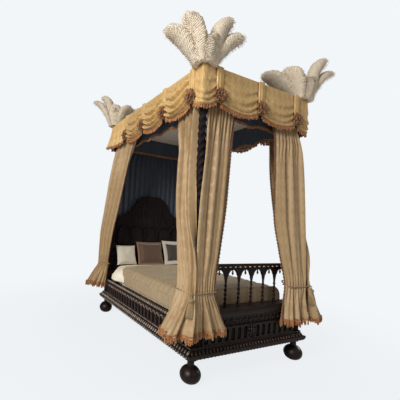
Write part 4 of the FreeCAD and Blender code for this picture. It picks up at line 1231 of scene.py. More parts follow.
def swag_shape(u, v, depth, seed):
    """How far a swag stands out and how high it is, at a share across and a share down."""
    sag = swag_sag(u)
    low = swag_low(u)
    edge = 1 - sag
    height = CANOPY_TOP + (low - CANOPY_TOP) * v - 0.085 * sag * math.sin(math.pi * v) ** 1.1
    fold = (3.6 + 0.8 * depth) * v ** (1.38 - 0.24 * depth) + 0.40 * wander(u * 2.2, v * 2.0, seed)
    crest = fold_lip(fold)
    deep = depth * (0.012 + 0.012 * sag + 0.016 * edge ** 2) * smooth(0.0, 0.55 - 0.12 * depth, v)
    belly = 0.016 * sag * math.sin(math.pi * min(1.0, v * 1.05)) ** 0.8
    crease = 0.004 * wander(u * 9, v * 7, seed + 3) + 0.002 * wander(u * 26, v * 12, seed + 7)
    pinch = smooth(0.0, 0.06, u) * smooth(0.0, 0.06, 1 - u)
    return SWAG_OUT + 0.004 + (belly + deep * crest) * (0.15 + 0.85 * pinch) + crease * pinch, height


def swag_cloth(name, face, start, end, depth, seed):
    def place(u, v):
        out, height = swag_shape(u, 1 - v, depth, seed)
        return face(start + (end - start) * u, max(out, SWAG_OUT + 0.002), height)
    return lay_cloth(name, 44, 64, place, (end - start, 0.62))


def swag_edge(face, start, end):
    """The line along a swag's lower edge."""
    steps = 24
    shares = [k / steps for k in range(steps + 1)]
    return [face(start + (end - start) * share, SWAG_OUT + 0.012, swag_low(share)) for share in shares]


def strip_cloth(name, face, middle, seed):
    """The flat strip over a rosette, with a soft fold on either side."""
    half = ROSETTE_HOLD + 0.014

    def place(u, v):
        down = 1 - v
        squeeze = 1.0 - 0.25 * smooth(0.6, 1.0, down)
        out = 0.026 + 0.003 * math.cos(4 * math.pi * u) + 0.002 * wander(u * 3, down * 3, seed)
        edge = smooth(0.0, 0.16, u) * smooth(0.0, 0.16, 1 - u)
        height = CANOPY_TOP + (ROSETTE_HEIGHT - 0.05 - CANOPY_TOP) * down
        return face(middle + (u - 0.5) * 2 * half * squeeze, SWAG_OUT + 0.002 + out * edge, height)
    return lay_cloth(name, 24, 16, place, (2 * half * 1.6, 0.33))


def seam_shade_cord(name, face, middle, aside):
    """A dark cord down the seam beside a strip: painted shade where the cloth tucks in."""
    points = []
    for k in range(21):
        down = k / 20
        squeeze = 1.0 - 0.25 * smooth(0.6, 1.0, down)
        height = CANOPY_TOP - 0.004 + (ROSETTE_HEIGHT - CANOPY_TOP) * down
        points.append(face(middle + aside * (ROSETTE_HOLD + 0.014) * squeeze, SWAG_OUT + 0.010, height))
    return tube(name, points, 0.0048)


# Dark cords down the seams beside the strips: painted shade where the cloth tucks in
def seam_shade_cords():
    shade_cords = []
    for sign in (-1, 1):
        for middle in SIDE_ROSETTES:
            shade_cords.append(seam_shade_cord("seam_shade", side_face(sign), middle, 1))
    for middle in FOOT_ROSETTES:
        shade_cords.append(seam_shade_cord("seam_shade", foot_face, middle, -1))
    dress(join(shade_cords, "valance_welts"), FINISHES["knot"], "rust_fringe", "bedstead")


def back_cloth(name, face, start, end, low):
    """The flat cloth behind the swags."""
    def place(u, v):
        along = start + (end - start) * u
        ripple = 0.0012 * math.sin(along * 60)
        return face(along, 0.0045 + ripple, low + (CANOPY_TOP - low) * v)
    return lay_cloth(name, 60, 6, place, (end - start, CANOPY_TOP - low))


def pleat_cloth(name, face, start, end, low, pleats, flare, end_flare=0.0):
    """An upright pleated length that opens towards its hem."""
    def place(u, v):
        down = 1 - v
        along = start + (end - start) * u
        wave = 0.5 + 0.5 * math.cos(2 * math.pi * pleats * u)
        deep = 0.012 + 0.016 * down
        spread_out = flare + 0.055 * smooth(0.5, 1.0, u) * end_flare
        out = SWAG_OUT + 0.004 + deep * wave + spread_out * down ** 1.6
        height = CANOPY_TOP + (low - CANOPY_TOP) * down + 0.004 * wander(along * 12, 2.0)
        return face(along, out, height)
    return lay_cloth(name, pleats * 12, 18, place, ((end - start) * 1.8, CANOPY_TOP - low))


def spans(rosettes):
    return [(a + ROSETTE_HOLD, b - ROSETTE_HOLD) for a, b in zip(rosettes, rosettes[1:])]


def fringe(name, line, drop, seed, body="bedstead"):
    """A braided heading along a line with cut tufts hanging from it."""
    chance = random.Random(seed)
    pitch = sizes().fringe_pitch
    tuft = bead_model(6, 5)
    for vertex in tuft.data.vertices:
        flare = 1.0 + 0.55 * max(0.0, -vertex.co.z)
        vertex.co = (vertex.co.x * flare, vertex.co.y * flare, vertex.co.z)
    spots = []
    for place, along in resample(line, pitch):
        side = along.cross(UP).normalized()
        length = drop * (0.66 + 0.5 * chance.random())
        thick = pitch * (0.50 + 0.16 * chance.random())
        shift = Vector((chance.uniform(-1, 1), chance.uniform(-1, 1), 0)) * 0.0045
        middle = place + shift - UP * (length / 2)
        spots.append(basis(middle, along * thick, side * thick * 0.85, UP * (length / 2)))
    threads = stamp(name + "_tufts", tuft, spots)
    knots = []
    for place, along in resample(line, 0.011):
        side = along.cross(UP).normalized()
        slant = (along + UP * 0.8).normalized()
        knots.append(basis(place, slant * 0.0085, side * 0.0055, slant.cross(side) * 0.0060))
    heading = outward_faces(stamp(name + "_heading", bead_model(6, 4), knots))
    piece = outward_faces(join([threads, heading], name))
    return dress(piece, FINISHES["fringe"], "rust_fringe", body)


def valance(name, face, rosettes, cloths, hems, node, flat, depth):
    """Back cloth, swags, strips and extra lengths of one side of the canopy as one piece."""
    for k, (start, end) in enumerate(spans(rosettes)):
        cloths.append(swag_cloth(name + "_swag", face, start, end, depth, 11.3 * k + len(name)))
        hems.append(swag_edge(face, start, end))
    for k, middle in enumerate(rosettes):
        cloths.append(strip_cloth(name + "_strip", face, middle, 5.1 * k))
    piece = thicken(join(cloths, name), sizes().cloth)
    dress(piece, FINISHES["silk"], "gold_silk", "bedstead", node)
    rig.sheet(piece, flat=flat, held="gathered", rests_on=["tester_frame"])
    return piece


def side_valance(side, sign):
    face = side_face(sign)
    name = "swagged_valance_" + side
    head_start = SIDE_ROSETTES[-1] + ROSETTE_HOLD
    head_end = CANOPY_Y + PLEAT_PAST
    cloths = [back_cloth(name + "_back", face, -CANOPY_Y, CANOPY_Y, BACK_CLOTH_LOW),
              pleat_cloth(name + "_pleats", face, head_start, head_end, PLEAT_LOW, 8, 0.016, 1.0)]
    hems = []
    valance(name, face, SIDE_ROSETTES, cloths, hems, "valance_" + side, (2.3, 0.82), 2.1)
    hem = []
    for k in range(61):
        share = k / 60
        out = SWAG_OUT + 0.034 + 0.012 * math.cos(16 * math.pi * share) + 0.055 * smooth(0.5, 1.0, share)
        hem.append(face(head_start + (head_end - head_start) * share, out, PLEAT_HEM))
    fringe("pleat_fringe_" + side, hem, 0.040, 31)
    return hems


def foot_valance():
    cloths = [back_cloth("swagged_valance_foot_back", foot_face, -CANOPY_X, CANOPY_X, BACK_CLOTH_LOW)]
    hems = []
    valance("swagged_valance_foot", foot_face, FOOT_ROSETTES, cloths, hems, "valance_foot", (1.5, 0.76), 0.65)
    return hems


def head_valance():
    name = "pleated_valance_head"
    half = CANOPY_X + PLEAT_PAST
    cloths = [back_cloth(name + "_back", head_face, -CANOPY_X, CANOPY_X, BACK_CLOTH_LOW),
              pleat_cloth(name + "_pleats", head_face, -half, half, PLEAT_LOW, 24, 0.02)]
    piece = thicken(join(cloths, name), sizes().cloth)
    dress(piece, FINISHES["silk"], "gold_silk", "bedstead", "valance_head")
    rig.sheet(piece, flat=(1.9, 0.65), held="gathered", rests_on=["tester_frame"])
    hem = []
    for k in range(181):
        share = k / 180
        out = SWAG_OUT + 0.038 + 0.012 * math.cos(48 * math.pi * share)
        hem.append(head_face(-CANOPY_X + 2 * CANOPY_X * share, out, PLEAT_HEM))
    fringe("pleat_fringe_head", hem, 0.040, 37)


def corner_path(sign, share, out):
    """A point at a distance out from the cloths as they turn a foot corner, side first."""
    side_run = CANOPY_Y + SWAG_OUT + SIDE_ROSETTES[0] - ROSETTE_HOLD
    foot_run = CANOPY_X + SWAG_OUT - FOOT_ROSETTES[-1] - ROSETTE_HOLD
    turn_run = 0.06
    travel = share * (side_run + turn_run + foot_run)
    lift = out - SWAG_OUT
    edge_x = CANOPY_X + SWAG_OUT
    edge_y = CANOPY_Y + SWAG_OUT
    if travel < side_run:
        x, y = edge_x + lift, edge_y - side_run + travel
    elif travel < side_run + turn_run:
        angle = math.pi / 2 * (travel - side_run) / turn_run
        x, y = edge_x + lift * math.cos(angle), edge_y + lift * math.sin(angle)
    else:
        x, y = edge_x - (travel - side_run - turn_run), edge_y + lift
    return Vector((sign * x, -y, 0))


def corner_swag(side, sign):
    """The swag that goes round a foot corner between two rosettes."""
    def place(u, v):
        out, height = swag_shape(u, 1 - v, 0.6, 40.0 + sign)
        peak = 0.030 * math.exp(-((u - 0.5) / 0.16) ** 2) * smooth(0.75, 1.0, v)
        return corner_path(sign, u, max(out, SWAG_OUT + 0.003)) + UP * (height + peak)
    piece = thicken(lay_cloth("corner_drape_" + side, 60, 44, place, (0.36, 0.62)), sizes().cloth)
    dress(piece, FINISHES["silk"], "gold_silk", "bedstead", "corner_swag_" + side)
    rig.sheet(piece, flat=(0.37, 0.45), held="gathered", rests_on=["tester_frame"])
    return [corner_path(sign, k / 30, SWAG_OUT + 0.012) + UP * swag_low(k / 30) for k in range(31)]


def swag_fringe(hems):
    pieces = [fringe("swag_fringe", hem, 0.046, 50 + k, body=None) for k, hem in enumerate(hems)]
    piece = join(pieces, "swag_fringe")
    dress(piece, FINISHES["fringe"], "rust_fringe", "bedstead", "valance_fringe")


# Rings of loops in a rosette: how many, how far out, half their length and width, and their rise
ROSETTE_RINGS = [(20, 0.038, 0.019, 0.0062, 0.008), (16, 0.027, 0.018, 0.0062, 0.021),
                 (10, 0.012, 0.014, 0.0060, 0.032)]


def rosette_model():
    """A gathered knot of ragged loops, facing Y."""
    chance = random.Random(8)
    loop = bead_model(6, 5)
    spots = []
    for count, reach, long_half, wide_half, rise in ROSETTE_RINGS:
        for k in range(count):
            angle = 2 * math.pi * (k + chance.uniform(-0.3, 0.3)) / count
            out = Vector((math.cos(angle), 0, math.sin(angle)))
            long_axis = (out + Vector((0, chance.uniform(0.1, 0.8), 0))).normalized()
            across = Vector((-out.z, 0, out.x))
            stretch = chance.uniform(0.6, 1.45)
            spots.append(basis(out * reach * chance.uniform(0.85, 1.2) + Vector((0, rise, 0)),
                               long_axis * long_half * stretch, across * wide_half,
                               across.cross(long_axis) * wide_half * 0.8))
    stem = basis(Vector((0, 0.004, 0)), Vector((0.034, 0, 0)), Vector((0, 0.014, 0)), Vector((0, 0, 0.034)))
    return outward_faces(stamp("rosette_model", loop, spots + [stem]))


def rosettes():
    spots = []
    lift = 0.022
    for sign in (-1, 1):
        for along in SIDE_ROSETTES:
            place = Vector((sign * (CANOPY_X + SWAG_OUT + lift), along, ROSETTE_HEIGHT))
            spots.append(basis(place, Vector((0, -sign, 0)), Vector((sign, 0, 0)), UP))
    for along in FOOT_ROSETTES:
        place = Vector((along, -(CANOPY_Y + SWAG_OUT + lift), ROSETTE_HEIGHT))
        spots.append(basis(place, Vector((-1, 0, 0)), Vector((0, -1, 0)), UP))
    scaled = [spot @ Matrix.Scale(1.5, 4) for spot in spots]
    piece = outward_faces(stamp("gathered_rosettes", rosette_model(), scaled))
    dress(piece, FINISHES["rosette"], "rust_fringe", "bedstead", "valance_rosettes")


def lining_wall(name, start, end, low, scallops, seed):
    """An inner hanging with fine gathers and a scalloped hem; returns it and its lower line."""
    run = end - start
    inward = UP.cross(run).normalized()

    def hem_height(u):
        return low + 0.030 * abs(math.cos(math.pi * scallops * u)) if scallops else low

    def place(u, v):
        height = hem_height(u) + (CANOPY_BOTTOM - hem_height(u)) * v
        gather = 0.0035 * math.sin(u * run.length * 95 + 0.6 * wander(u * 8, v * 2, seed)) * (1.15 - 0.5 * v)
        point = start + run * u + inward * (gather + 0.003)
        return Vector((point.x, point.y, height))
    columns = round(run.length * 60)
    cloth = lay_cloth(name, columns, 14, place, (run.length * 1.4, CANOPY_BOTTOM - low))
    line = [place(k / 80, 0.0) for k in range(81)]
    return cloth, line


def inner_linings():
    """The navy hangings inside the canopy, with a rust fringe along them."""
    x = 0.621
    y = 1.021
    corners = [Vector((-x, y, 0)), Vector((-x, -y, 0)), Vector((x, -y, 0)), Vector((x, y, 0))]
    walls = []
    lines = []
    for k, (low, scallops) in enumerate([(2.565, 6), (2.565, 3), (2.565, 6), (2.602, 0)]):
        wall, line = lining_wall("inner_lining", corners[k], corners[(k + 1) % 4], low, scallops, k * 3.0)
        walls.append(wall)
        lines.append(line)
    piece = thicken(join(walls, "inner_lining"), 0.003)
    dress(piece, FINISHES["lining"], "navy_lining", "bedstead", "inner_valance")
    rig.sheet(piece, flat=(6.57, 0.29), held="gathered", rests_on=["tester_ceiling"])
    trims = [fringe("lining_fringe", line, 0.030, 80 + k, body=None) for k, line in enumerate(lines)]
    trim = join(trims, "lining_fringe")
    dress(trim, FINISHES["fringe"], "rust_fringe", "bedstead")


def back_drape():
    """The pleated hanging behind the headboard."""
    low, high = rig.box("back_drape")
    middle = (low.y + high.y) / 2
    width = high.x - low.x

    def place(u, v):
        height = low.z + (high.z - low.z) * v
        drift = 0.35 * wander(u * 5, height * 0.6, 4.0)
        wave = math.sin(2 * math.pi * 15 * u + drift) + 0.25 * math.sin(4 * math.pi * 15 * u + 2 * drift)
        under = smooth(2.60, 2.45, height)
        x = (2 * u - 1) * (width / 2 + 0.085 * under)
        behind = 0.052 * smooth(0.60, 0.645, abs(x)) * under
        return Vector((x, middle - wave * 0.0085 + behind, height))
    piece = thicken(lay_cloth("pleated_back_drape", 240, 46, place, (width * 1.25, high.z - low.z)), 0.003)
    dress(piece, FINISHES["lining"], "navy_lining", "bedstead", "back_drape")
    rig.sheet(piece, flat=(width * 1.1, high.z - low.z), held="gathered", rests_on=["tester_ceiling"])


def ceiling_cloth():
    """The pale cloth under the tester, gathered towards its middle and sagging a little."""
    low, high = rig.box("tester_ceiling")
    half_x = (high.x - low.x) / 2
    half_y = (high.y - low.y) / 2

    def place(u, v):
        x = (2 * u - 1) * half_x
        y = (2 * v - 1) * half_y
        reach = max(abs(x) / half_x, abs(y) / half_y)
        ray = math.sin(math.atan2(y / half_y, x / half_x) * 46)
        sag = 0.006 * (1 - reach * reach)
        gather = 0.002 * ray * smooth(0.08, 0.5, reach) * (1 - smooth(0.9, 1.0, reach))
        return Vector((x, y, low.z + 0.006 - sag - gather))
    piece = thicken(lay_cloth("ceiling_cloth", 110, 150, place, (2 * half_x, 2 * half_y)), 0.004)
    dress(piece, FINISHES["ceiling"], "pale_lining", "bedstead", "tester_ceiling")
    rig.sheet(piece, flat=(2 * half_x, 2 * half_y), held="stretched", rests_on=["tester_frame"])


# Curtains

# Level by level: height, where the cloth starts, bends and ends as (outward X, outward Y) from the
# post's axis, and the depth of its folds; a side curtain wraps round the corner of the bed as it falls
SIDE_LEVELS = [
    (CURTAIN_TOP, (0.0, -0.060), (0.0, -0.225), (0.0, -0.390), 0.018),
    (2.30, (0.026, -0.045), (0.028, -0.200), (0.018, -0.365), 0.027),
    (1.60, (0.070, 0.030), (0.085, -0.100), (0.062, -0.285), 0.028),
    (1.20, (0.076, 0.090), (0.130, 0.070), (0.092, -0.205), 0.022),
    (FOOT_TIE, (0.100, 0.132), (0.172, 0.162), (0.122, -0.125), 0.007),
    (0.68, (0.108, 0.148), (0.280, 0.180), (0.160, -0.135), 0.013),
    (CURTAIN_HEM, (0.120, 0.155), (0.470, 0.200), (0.255, -0.150), 0.018),
]
FOOT_LEVELS = [
    (CURTAIN_TOP, (-0.055, 0.0), (-0.235, 0.0), (-0.415, 0.0), 0.012),
    (2.30, (-0.025, 0.028), (-0.195, 0.026), (-0.370, 0.020), 0.010),
    (1.60, (0.055, 0.078), (-0.110, 0.080), (-0.285, 0.066), 0.009),
    (1.20, (0.080, 0.104), (-0.070, 0.108), (-0.212, 0.092), 0.007),
    (FOOT_TIE, (0.092, 0.128), (-0.025, 0.130), (-0.138, 0.122), 0.004),
    (0.68, (0.100, 0.136), (-0.060, 0.142), (-0.205, 0.118), 0.009),
    (CURTAIN_HEM, (0.118, 0.146), (-0.090, 0.165), (-0.310, 0.130), 0.015),
]
HEAD_LEVELS = [
    (CURTAIN_TOP, (0.010, -0.075), (0.0, -0.400), (0.0, -0.755), 0.014),
    (2.30, (0.075, 0.010), (0.055, -0.290), (0.035, -0.600), 0.015),
    (1.60, (0.150, 0.020), (0.115, -0.180), (0.085, -0.385), 0.014),
    (1.20, (0.180, 0.060), (0.145, -0.090), (0.105, -0.255), 0.010),
    (HEAD_TIE, (0.180, 0.080), (0.150, -0.020), (0.090, -0.128), 0.0055),
    (0.65, (0.245, 0.085), (0.200, -0.030), (0.112, -0.150), 0.0075),
    (CURTAIN_HEM, (0.345, 0.085), (0.300, -0.050), (0.150, -0.190), 0.012),
]
# The right-hand foot curtain laps over the front of its post above the tie
RIGHT_FOOT_LEVELS = [
    (CURTAIN_TOP, (-0.055, 0.0), (-0.235, 0.0), (-0.415, 0.0), 0.012),
    (2.42, (0.020, 0.046), (-0.170, 0.046), (-0.375, 0.020), 0.010),
    (2.30, (0.040, 0.054), (-0.190, 0.046), (-0.370, 0.020), 0.010),
    (1.60, (0.060, 0.086), (-0.180, 0.080), (-0.345, 0.015), 0.009),
    (1.20, (0.062, 0.112), (-0.140, 0.108), (-0.275, 0.038), 0.007),
    (FOOT_TIE, (0.050, 0.136), (-0.095, 0.130), (-0.203, 0.067), 0.004),
    (0.68, (0.035, 0.140), (-0.100, 0.142), (-0.245, 0.085), 0.009),
    (CURTAIN_HEM, (0.030, 0.150), (-0.130, 0.165), (-0.310, 0.130), 0.015),
]


def steady_slopes(heights, values):
    """Slopes at the levels that keep a curve through them from overshooting."""
    steps = [(b - a) / (d - c) for a, b, c, d in zip(values, values[1:], heights, heights[1:])]
    slopes = [steps[0]]
    for before, after in zip(steps, steps[1:]):
        slopes.append(0.0 if before * after <= 0 else 2 * before * after / (before + after))
    return slopes + [steps[-1]]


def level_curve(levels):
    """A function of height that gives start, bend, end and fold depth on a smooth curve."""
    heights = [level[0] for level in levels]
    flat = [(*start, *bend, *end, depth) for height, start, bend, end, depth in levels]
    rows = [[level[k] for level in flat] for k in range(7)]
    slopes = [steady_slopes(heights, row) for row in rows]

    def at(height):
        k = 0
        while k < len(heights) - 2 and height < heights[k + 1]:
            k += 1
        run = heights[k + 1] - heights[k]
        t = min(1.0, max(0.0, (height - heights[k]) / run))
        found = []
        for row, slope in zip(rows, slopes):
            found.append(row[k] * (1 + 2 * t) * (1 - t) ** 2 + slope[k] * run * t * (1 - t) ** 2
                         + row[k + 1] * t * t * (3 - 2 * t) + slope[k + 1] * run * t * t * (t - 1))
        return Vector(found[0:2]), Vector(found[2:4]), Vector(found[4:6]), found[6]
    return at


def soft_wave(angle):
    """A wave with round crests and narrow valleys, as folded cloth has."""
    return 0.6 * math.sin(angle) + 0.45 * (2 * abs(math.sin(angle / 2 + math.pi / 4)) - 1.2)


def fold_wave(u, height, tie, pleats, seed):
    """How far cloth stands off its line: fine folds at the heading and the tie, broad ones between."""
    fine_share = max(smooth(2.05, 2.68, height), math.exp(-((height - tie) / 0.15) ** 2))
    drift = 0.8 * wander(u * 2.6, height * 0.8, seed)
    fine = soft_wave(2 * math.pi * 1.6 * pleats * u + drift + 0.6 * wander(u * 9, height * 1.5, seed + 5))
    broad = soft_wave(2 * math.pi * 0.55 * pleats * u + 1.8 * wander(u * 1.5, height * 0.5, seed + 2) + seed)
    middle = soft_wave(2 * math.pi * 0.95 * pleats * u + 1.5 * wander(u * 2.0, height * 0.9, seed + 8) + 1.0)
    return fine * (0.10 + 0.90 * fine_share) + (broad + 0.6 * middle) * (1 - 0.85 * fine_share)


POST_SHAFT_CLEAR = 0.040
POST_BLOCK_CLEAR = 0.074


def post_clearance(height):
    """How far cloth keeps from a post's axis: more at the square blocks than along the shaft."""
    cap = smooth(2.58, 2.66, height)
    rail = smooth(0.92, 1.00, height) * smooth(1.17, 1.09, height)
    return POST_SHAFT_CLEAR + (POST_BLOCK_CLEAR - POST_SHAFT_CLEAR) * max(cap, rail)


def curtain_surface(levels, pleats, tie, signs, seed):
    """A function of the shares along and down that gives a point on a tied curtain."""
    at = level_curve(levels)
    lines = {}
    depth_scale = sizes().pleat_depth

    def place(u, v):
        height = CURTAIN_HEM + (CURTAIN_TOP - CURTAIN_HEM) * v
        key = round(height, 5)
        if key not in lines:
            lines[key] = at(height)
        start, bend, end, depth = lines[key]
        shift = 0.012 * wander(u * 5, height * 1.3, seed + 4)
        share = u + shift * min(1.0, 8 * u) * min(1.0, 8 * (1 - u))
        spot = start * (1 - share) ** 2 + bend * 2 * share * (1 - share) + end * share ** 2
        ahead = (bend - start) * (1 - share) + (end - bend) * share
        across = Vector((ahead.y, -ahead.x)).normalized()
        skirt = smooth(tie, tie - 0.25, height)
        out = depth * depth_scale * fold_wave(u, height, tie, pleats, seed) * (1.0 + 0.35 * skirt)
        out += 0.004 * wander(u * 16, height * 5, seed + 2) * (0.4 + skirt)
        spot = spot + across * out
        spot *= max(1.0, post_clearance(height) / spot.length)
        dip = 0.012 * wander(u * pleats, 3.0, seed) * (1 - smooth(CURTAIN_HEM, CURTAIN_HEM + 0.15, height))
        return Vector((signs[0] * (POST_X + spot.x), signs[1] * (POST_Y + spot.y), height + dip))
    return place


def edge_trim(name, line, pitch):
    """Beads and small tufts down the leading edge of a curtain."""
    bead = bead_model(6, 5)
    spots = []
    for k, (place, along) in enumerate(resample(line, pitch)):
        side = along.orthogonal().normalized()
        size = 0.0100 if k % 2 else 0.0070
        spots.append(basis(place, side * size, along.cross(side) * size, along * size * 1.15))
    return outward_faces(stamp(name, bead, spots))


def curtain(place_name, side, levels, pleats, tie, flat, seed):
    """One tied curtain with its hem fringe and edge beads, above the tie drawn along by its runner."""
    signs = (-1 if side == "left" else 1, 1 if place_name == "head" else -1)
    surface = curtain_surface(levels, pleats, tie, signs, seed)
    corner = place_name + "_" + side
    name = "tied_curtain_" + corner
    piece = thicken(lay_cloth(name, pleats * 20, 120, surface, flat), sizes().cloth)
    dress(piece, FINISHES["curtain"], "gold_silk", None, "curtain_" + corner)
    hem = [surface(k / 160, 0.0) + UP * 0.020 for k in range(161)]
    trim = fringe("hem_fringe_" + corner, hem, 0.072, seed * 7)
    line = [surface(1.0, 1 - k / 140) for k in range(141)]
    edge = edge_trim("edge_beads_" + corner, line, 0.019)
    dress(edge, FINISHES["knot"], "rust_fringe", None)
    for soft in (piece, edge):
        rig.blend(soft, "bedstead", "runner_" + corner, start=(0, 0, 0.95), end=(0, 0, CURTAIN_TOP))
    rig.sheet(piece, flat=flat, held="gathered", rests_on=["rings_" + corner], with_pieces=[trim, edge])


# Ties, tassels and rods

# The foot rope turns sharply at the knot that holds its tassel, so that corner stands twice
FOOT_KNOT = (0.141, 0.141)
FOOT_TIE_CORNERS = [(-0.0566, -0.0566), (-0.178, 0.060), (-0.164, 0.138), FOOT_KNOT, FOOT_KNOT,
                    (0.140, -0.168), (0.060, -0.190)]
HEAD_TIE_CORNERS = [(0.124, 0.104), (0.192, 0.090), (0.106, -0.152), (0.054, -0.132)]


def rope(name, points, radius):
    """Twisted strands round a smooth curve; returns the piece and the line it follows."""
    strands = 3
    route = spline_route(name, points, 16)
    mesh = bpy.data.meshes.new_from_object(route)
    line = [vertex.co.copy() for vertex in mesh.vertices]
    bpy.data.objects.remove(route)
    spots = resample(line, radius * 0.5)
    pieces = []
    for strand in range(strands):
        path = []
        for k, (place, along) in enumerate(spots):
            side = along.cross(UP).normalized()
            up = side.cross(along)
            angle = 2 * math.pi * (strand / strands + k / 9.0)
            path.append(place + (side * math.cos(angle) + up * math.sin(angle)) * radius * 0.48)
        pieces.append(tube(name + "_strand", path, radius * 0.52))
    return join(pieces, name), [place for place, along in spots]


def tie_ropes():
    for end, sign_y, height, corners in (("foot", -1, FOOT_TIE, FOOT_TIE_CORNERS),
                                         ("head", 1, HEAD_TIE, HEAD_TIE_CORNERS)):
        for side, sign_x in (("left", -1), ("right", 1)):
            points = [Vector((sign_x * (POST_X + u), sign_y * (POST_Y + v), height)) for u, v in corners]
            points.append(points[0] + (points[-1] - points[0]).normalized() * 0.018)
            name = "tie_rope_" + end + "_" + side
            piece, line = rope(name, points, 0.008)
            length = sum((b - a).length for a, b in zip(line, line[1:]))
            nodes = ["tieback_cords"] if (end, side) == ("foot", "left") else []
            dress(piece, FINISHES["cord"], "cream_cord", "bedstead", *nodes)
            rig.cord(piece, exit=line[0], length=round(length, 2), diameter=0.016, far_end="object",
                    stiffness="limp", lay="taut", path=line)


def tassel_knob(side, low, top):
    """The turned head of a tassel with its short cord, about Z."""
    profile = [(0.0, low + 0.004), (0.016, low + 0.002), (0.021, low + 0.008), (0.026, low + 0.020),
               (0.0255, low + 0.028), (0.017, low + 0.038), (0.0075, low + 0.044), (0.0040, low + 0.050),
               (0.0040, top - 0.002), (0.0, top)]
    return lathe("tassel_" + side, profile, 20)


def tassel_skirt(side, middle, top):
    """Three rings of threads that spread from under the knob."""
    thread = bead_model(5, 6)
    chance = random.Random(side)
    spots = []
    for ring, count in ((0.044, 44), (0.028, 28), (0.012, 12)):
        for k in range(count):
            angle = 2 * math.pi * k / count
            out = Vector((math.cos(angle), math.sin(angle), 0))
            length = 0.138 + chance.uniform(-0.006, 0.002)
            head = Vector((middle.x, middle.y, top + 0.004)) + out * ring * 0.42
            foot = Vector((middle.x, middle.y, top - length)) + out * ring * 1.12
            along = foot - head
            across = along.cross(out).normalized()
            facing = across.cross(along).normalized()
            spots.append(basis((head + foot) / 2, across * 0.0042, facing * 0.0042, along / 2))
    return outward_faces(stamp("tassel_skirt_" + side, thread, spots))


def tassel_collar(side, middle, height):
    """A ring of small beads where the knob meets the skirt."""
    reach = 0.0145
    spots = []
    for k in range(14):
        angle = k * 0.449
        x = middle.x + reach * math.cos(angle)
        y = middle.y + reach * math.sin(angle)
        spots.append(Matrix.Translation((x, y, height)))
    return stamp("tassel_collar_" + side, bead_model(6, 4, (0.0042, 0.0042, 0.0042)), spots)


def tassels():
    """A knob and a skirt of threads on a short cord, hung from each foot tie."""
    for side in ("left", "right"):
        low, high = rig.box("tassel_foot_" + side)
        middle = (low + high) / 2
        skirt_top = high.z - 0.030 - 0.044
        knob = tassel_knob(side, skirt_top, high.z)
        knob.data.transform(Matrix.Translation((middle.x, middle.y, 0)))
        skirt = tassel_skirt(side, middle, skirt_top)
        collar = tassel_collar(side, middle, skirt_top + 0.003)
        piece = join([knob, skirt, collar], "gold_tassel_" + side)
        shade_smooth(piece)
        dress(piece, FINISHES["cord"], "cream_cord", "tassel_" + side, "tassel_foot_" + side)


def finish_metalwork():
    finish_node("curtain_rods", FINISHES["brass"])
    for name in frame["nodes"]:
        if name.startswith("rings_"):
            finish_node(name, FINISHES["brass"])


# Bedding


def bed_height(x, half=MATTRESS_X, edge=MATTRESS_EDGE):
    """The height of the crowned bed at a distance from its middle line."""
    inset = half - MATTRESS_SHOULDER
    rise = MATTRESS_CROWN - MATTRESS_SHOULDER
    radius = (inset * inset + rise * rise) / (2 * rise)
    aside = min(abs(x), half)
    if aside <= inset:
        return edge + MATTRESS_CROWN - radius + math.sqrt(radius * radius - aside * aside)
    return edge + math.sqrt(max(0.0, MATTRESS_SHOULDER ** 2 - (aside - inset) ** 2))


def mattress():
    """A feather mattress with a crowned top, rounded edges and soft dents."""
    piece = block("feather_mattress", 47)
    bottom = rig.box("mattress")[0].z
    half_y = (MATTRESS_HEAD - MATTRESS_FOOT) / 2
    middle_y = (MATTRESS_HEAD + MATTRESS_FOOT) / 2
    for vertex in piece.data.vertices:
        a, b, c = vertex.co
        x = a * MATTRESS_X
        y = b * half_y + middle_y
        top = bed_height(x)
        round_off = 0.045 * smooth(0.95, 1.0, abs(b)) * smooth(0.4, 1.0, c)
        dent = 0.006 * wander(x * 5, y * 5) * smooth(0.6, 1.0, c)
        height = bottom + (top - bottom) * (c + 1) / 2 - round_off - abs(dent)
        bulge = 1.0 - 0.012 * abs(c) ** 3
        spill = 0.10 * smooth(0.48, 0.70, y) * smooth(0.93, 0.80, y)
        spill *= smooth(0.528, 0.575, height) * smooth(0.80, 0.655, height)
        spread_x = math.copysign(spill * smooth(0.65, 1.0, abs(a)), a)
        vertex.co = (x * bulge + spread_x, (y - middle_y) * bulge + middle_y, height)
    mend_normals(piece)
    shade_smooth(piece, 80.0)
    dress(piece, FINISHES["sheet"], "sheet_linen", "bedding", "mattress")
    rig.padded(piece, fill=0.75)


COVERLET_COLUMNS = 140


def coverlet_outline():
    """Across the bed from the left hem over the top to the right hem, at even steps along the cloth."""
    low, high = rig.box("coverlet")
    half = high.x - 0.008
    edge = MATTRESS_EDGE + 0.014
    points = [Vector((-half, 0, low.z)), Vector((-half, 0, edge))]
    for k in range(181):
        angle = math.pi * k / 180
        x = -half * math.cos(angle)
        points.append(Vector((x, 0, bed_height(x, half, edge))))
    points += [Vector((half, 0, edge)), Vector((half, 0, low.z))]
    length = sum((b - a).length for a, b in zip(points, points[1:]))
    return resample(points, length / COVERLET_COLUMNS), length


def coverlet_head(u, high_y):
    """Where the cover ends towards the head: straight, with round corners."""
    aside = max(0.0, (abs(2 * u - 1) - 0.45) / 0.55)
    return high_y + 0.09 - 0.16 * (1 - math.sqrt(max(0.0, 1 - min(1.0, aside) ** 2)))


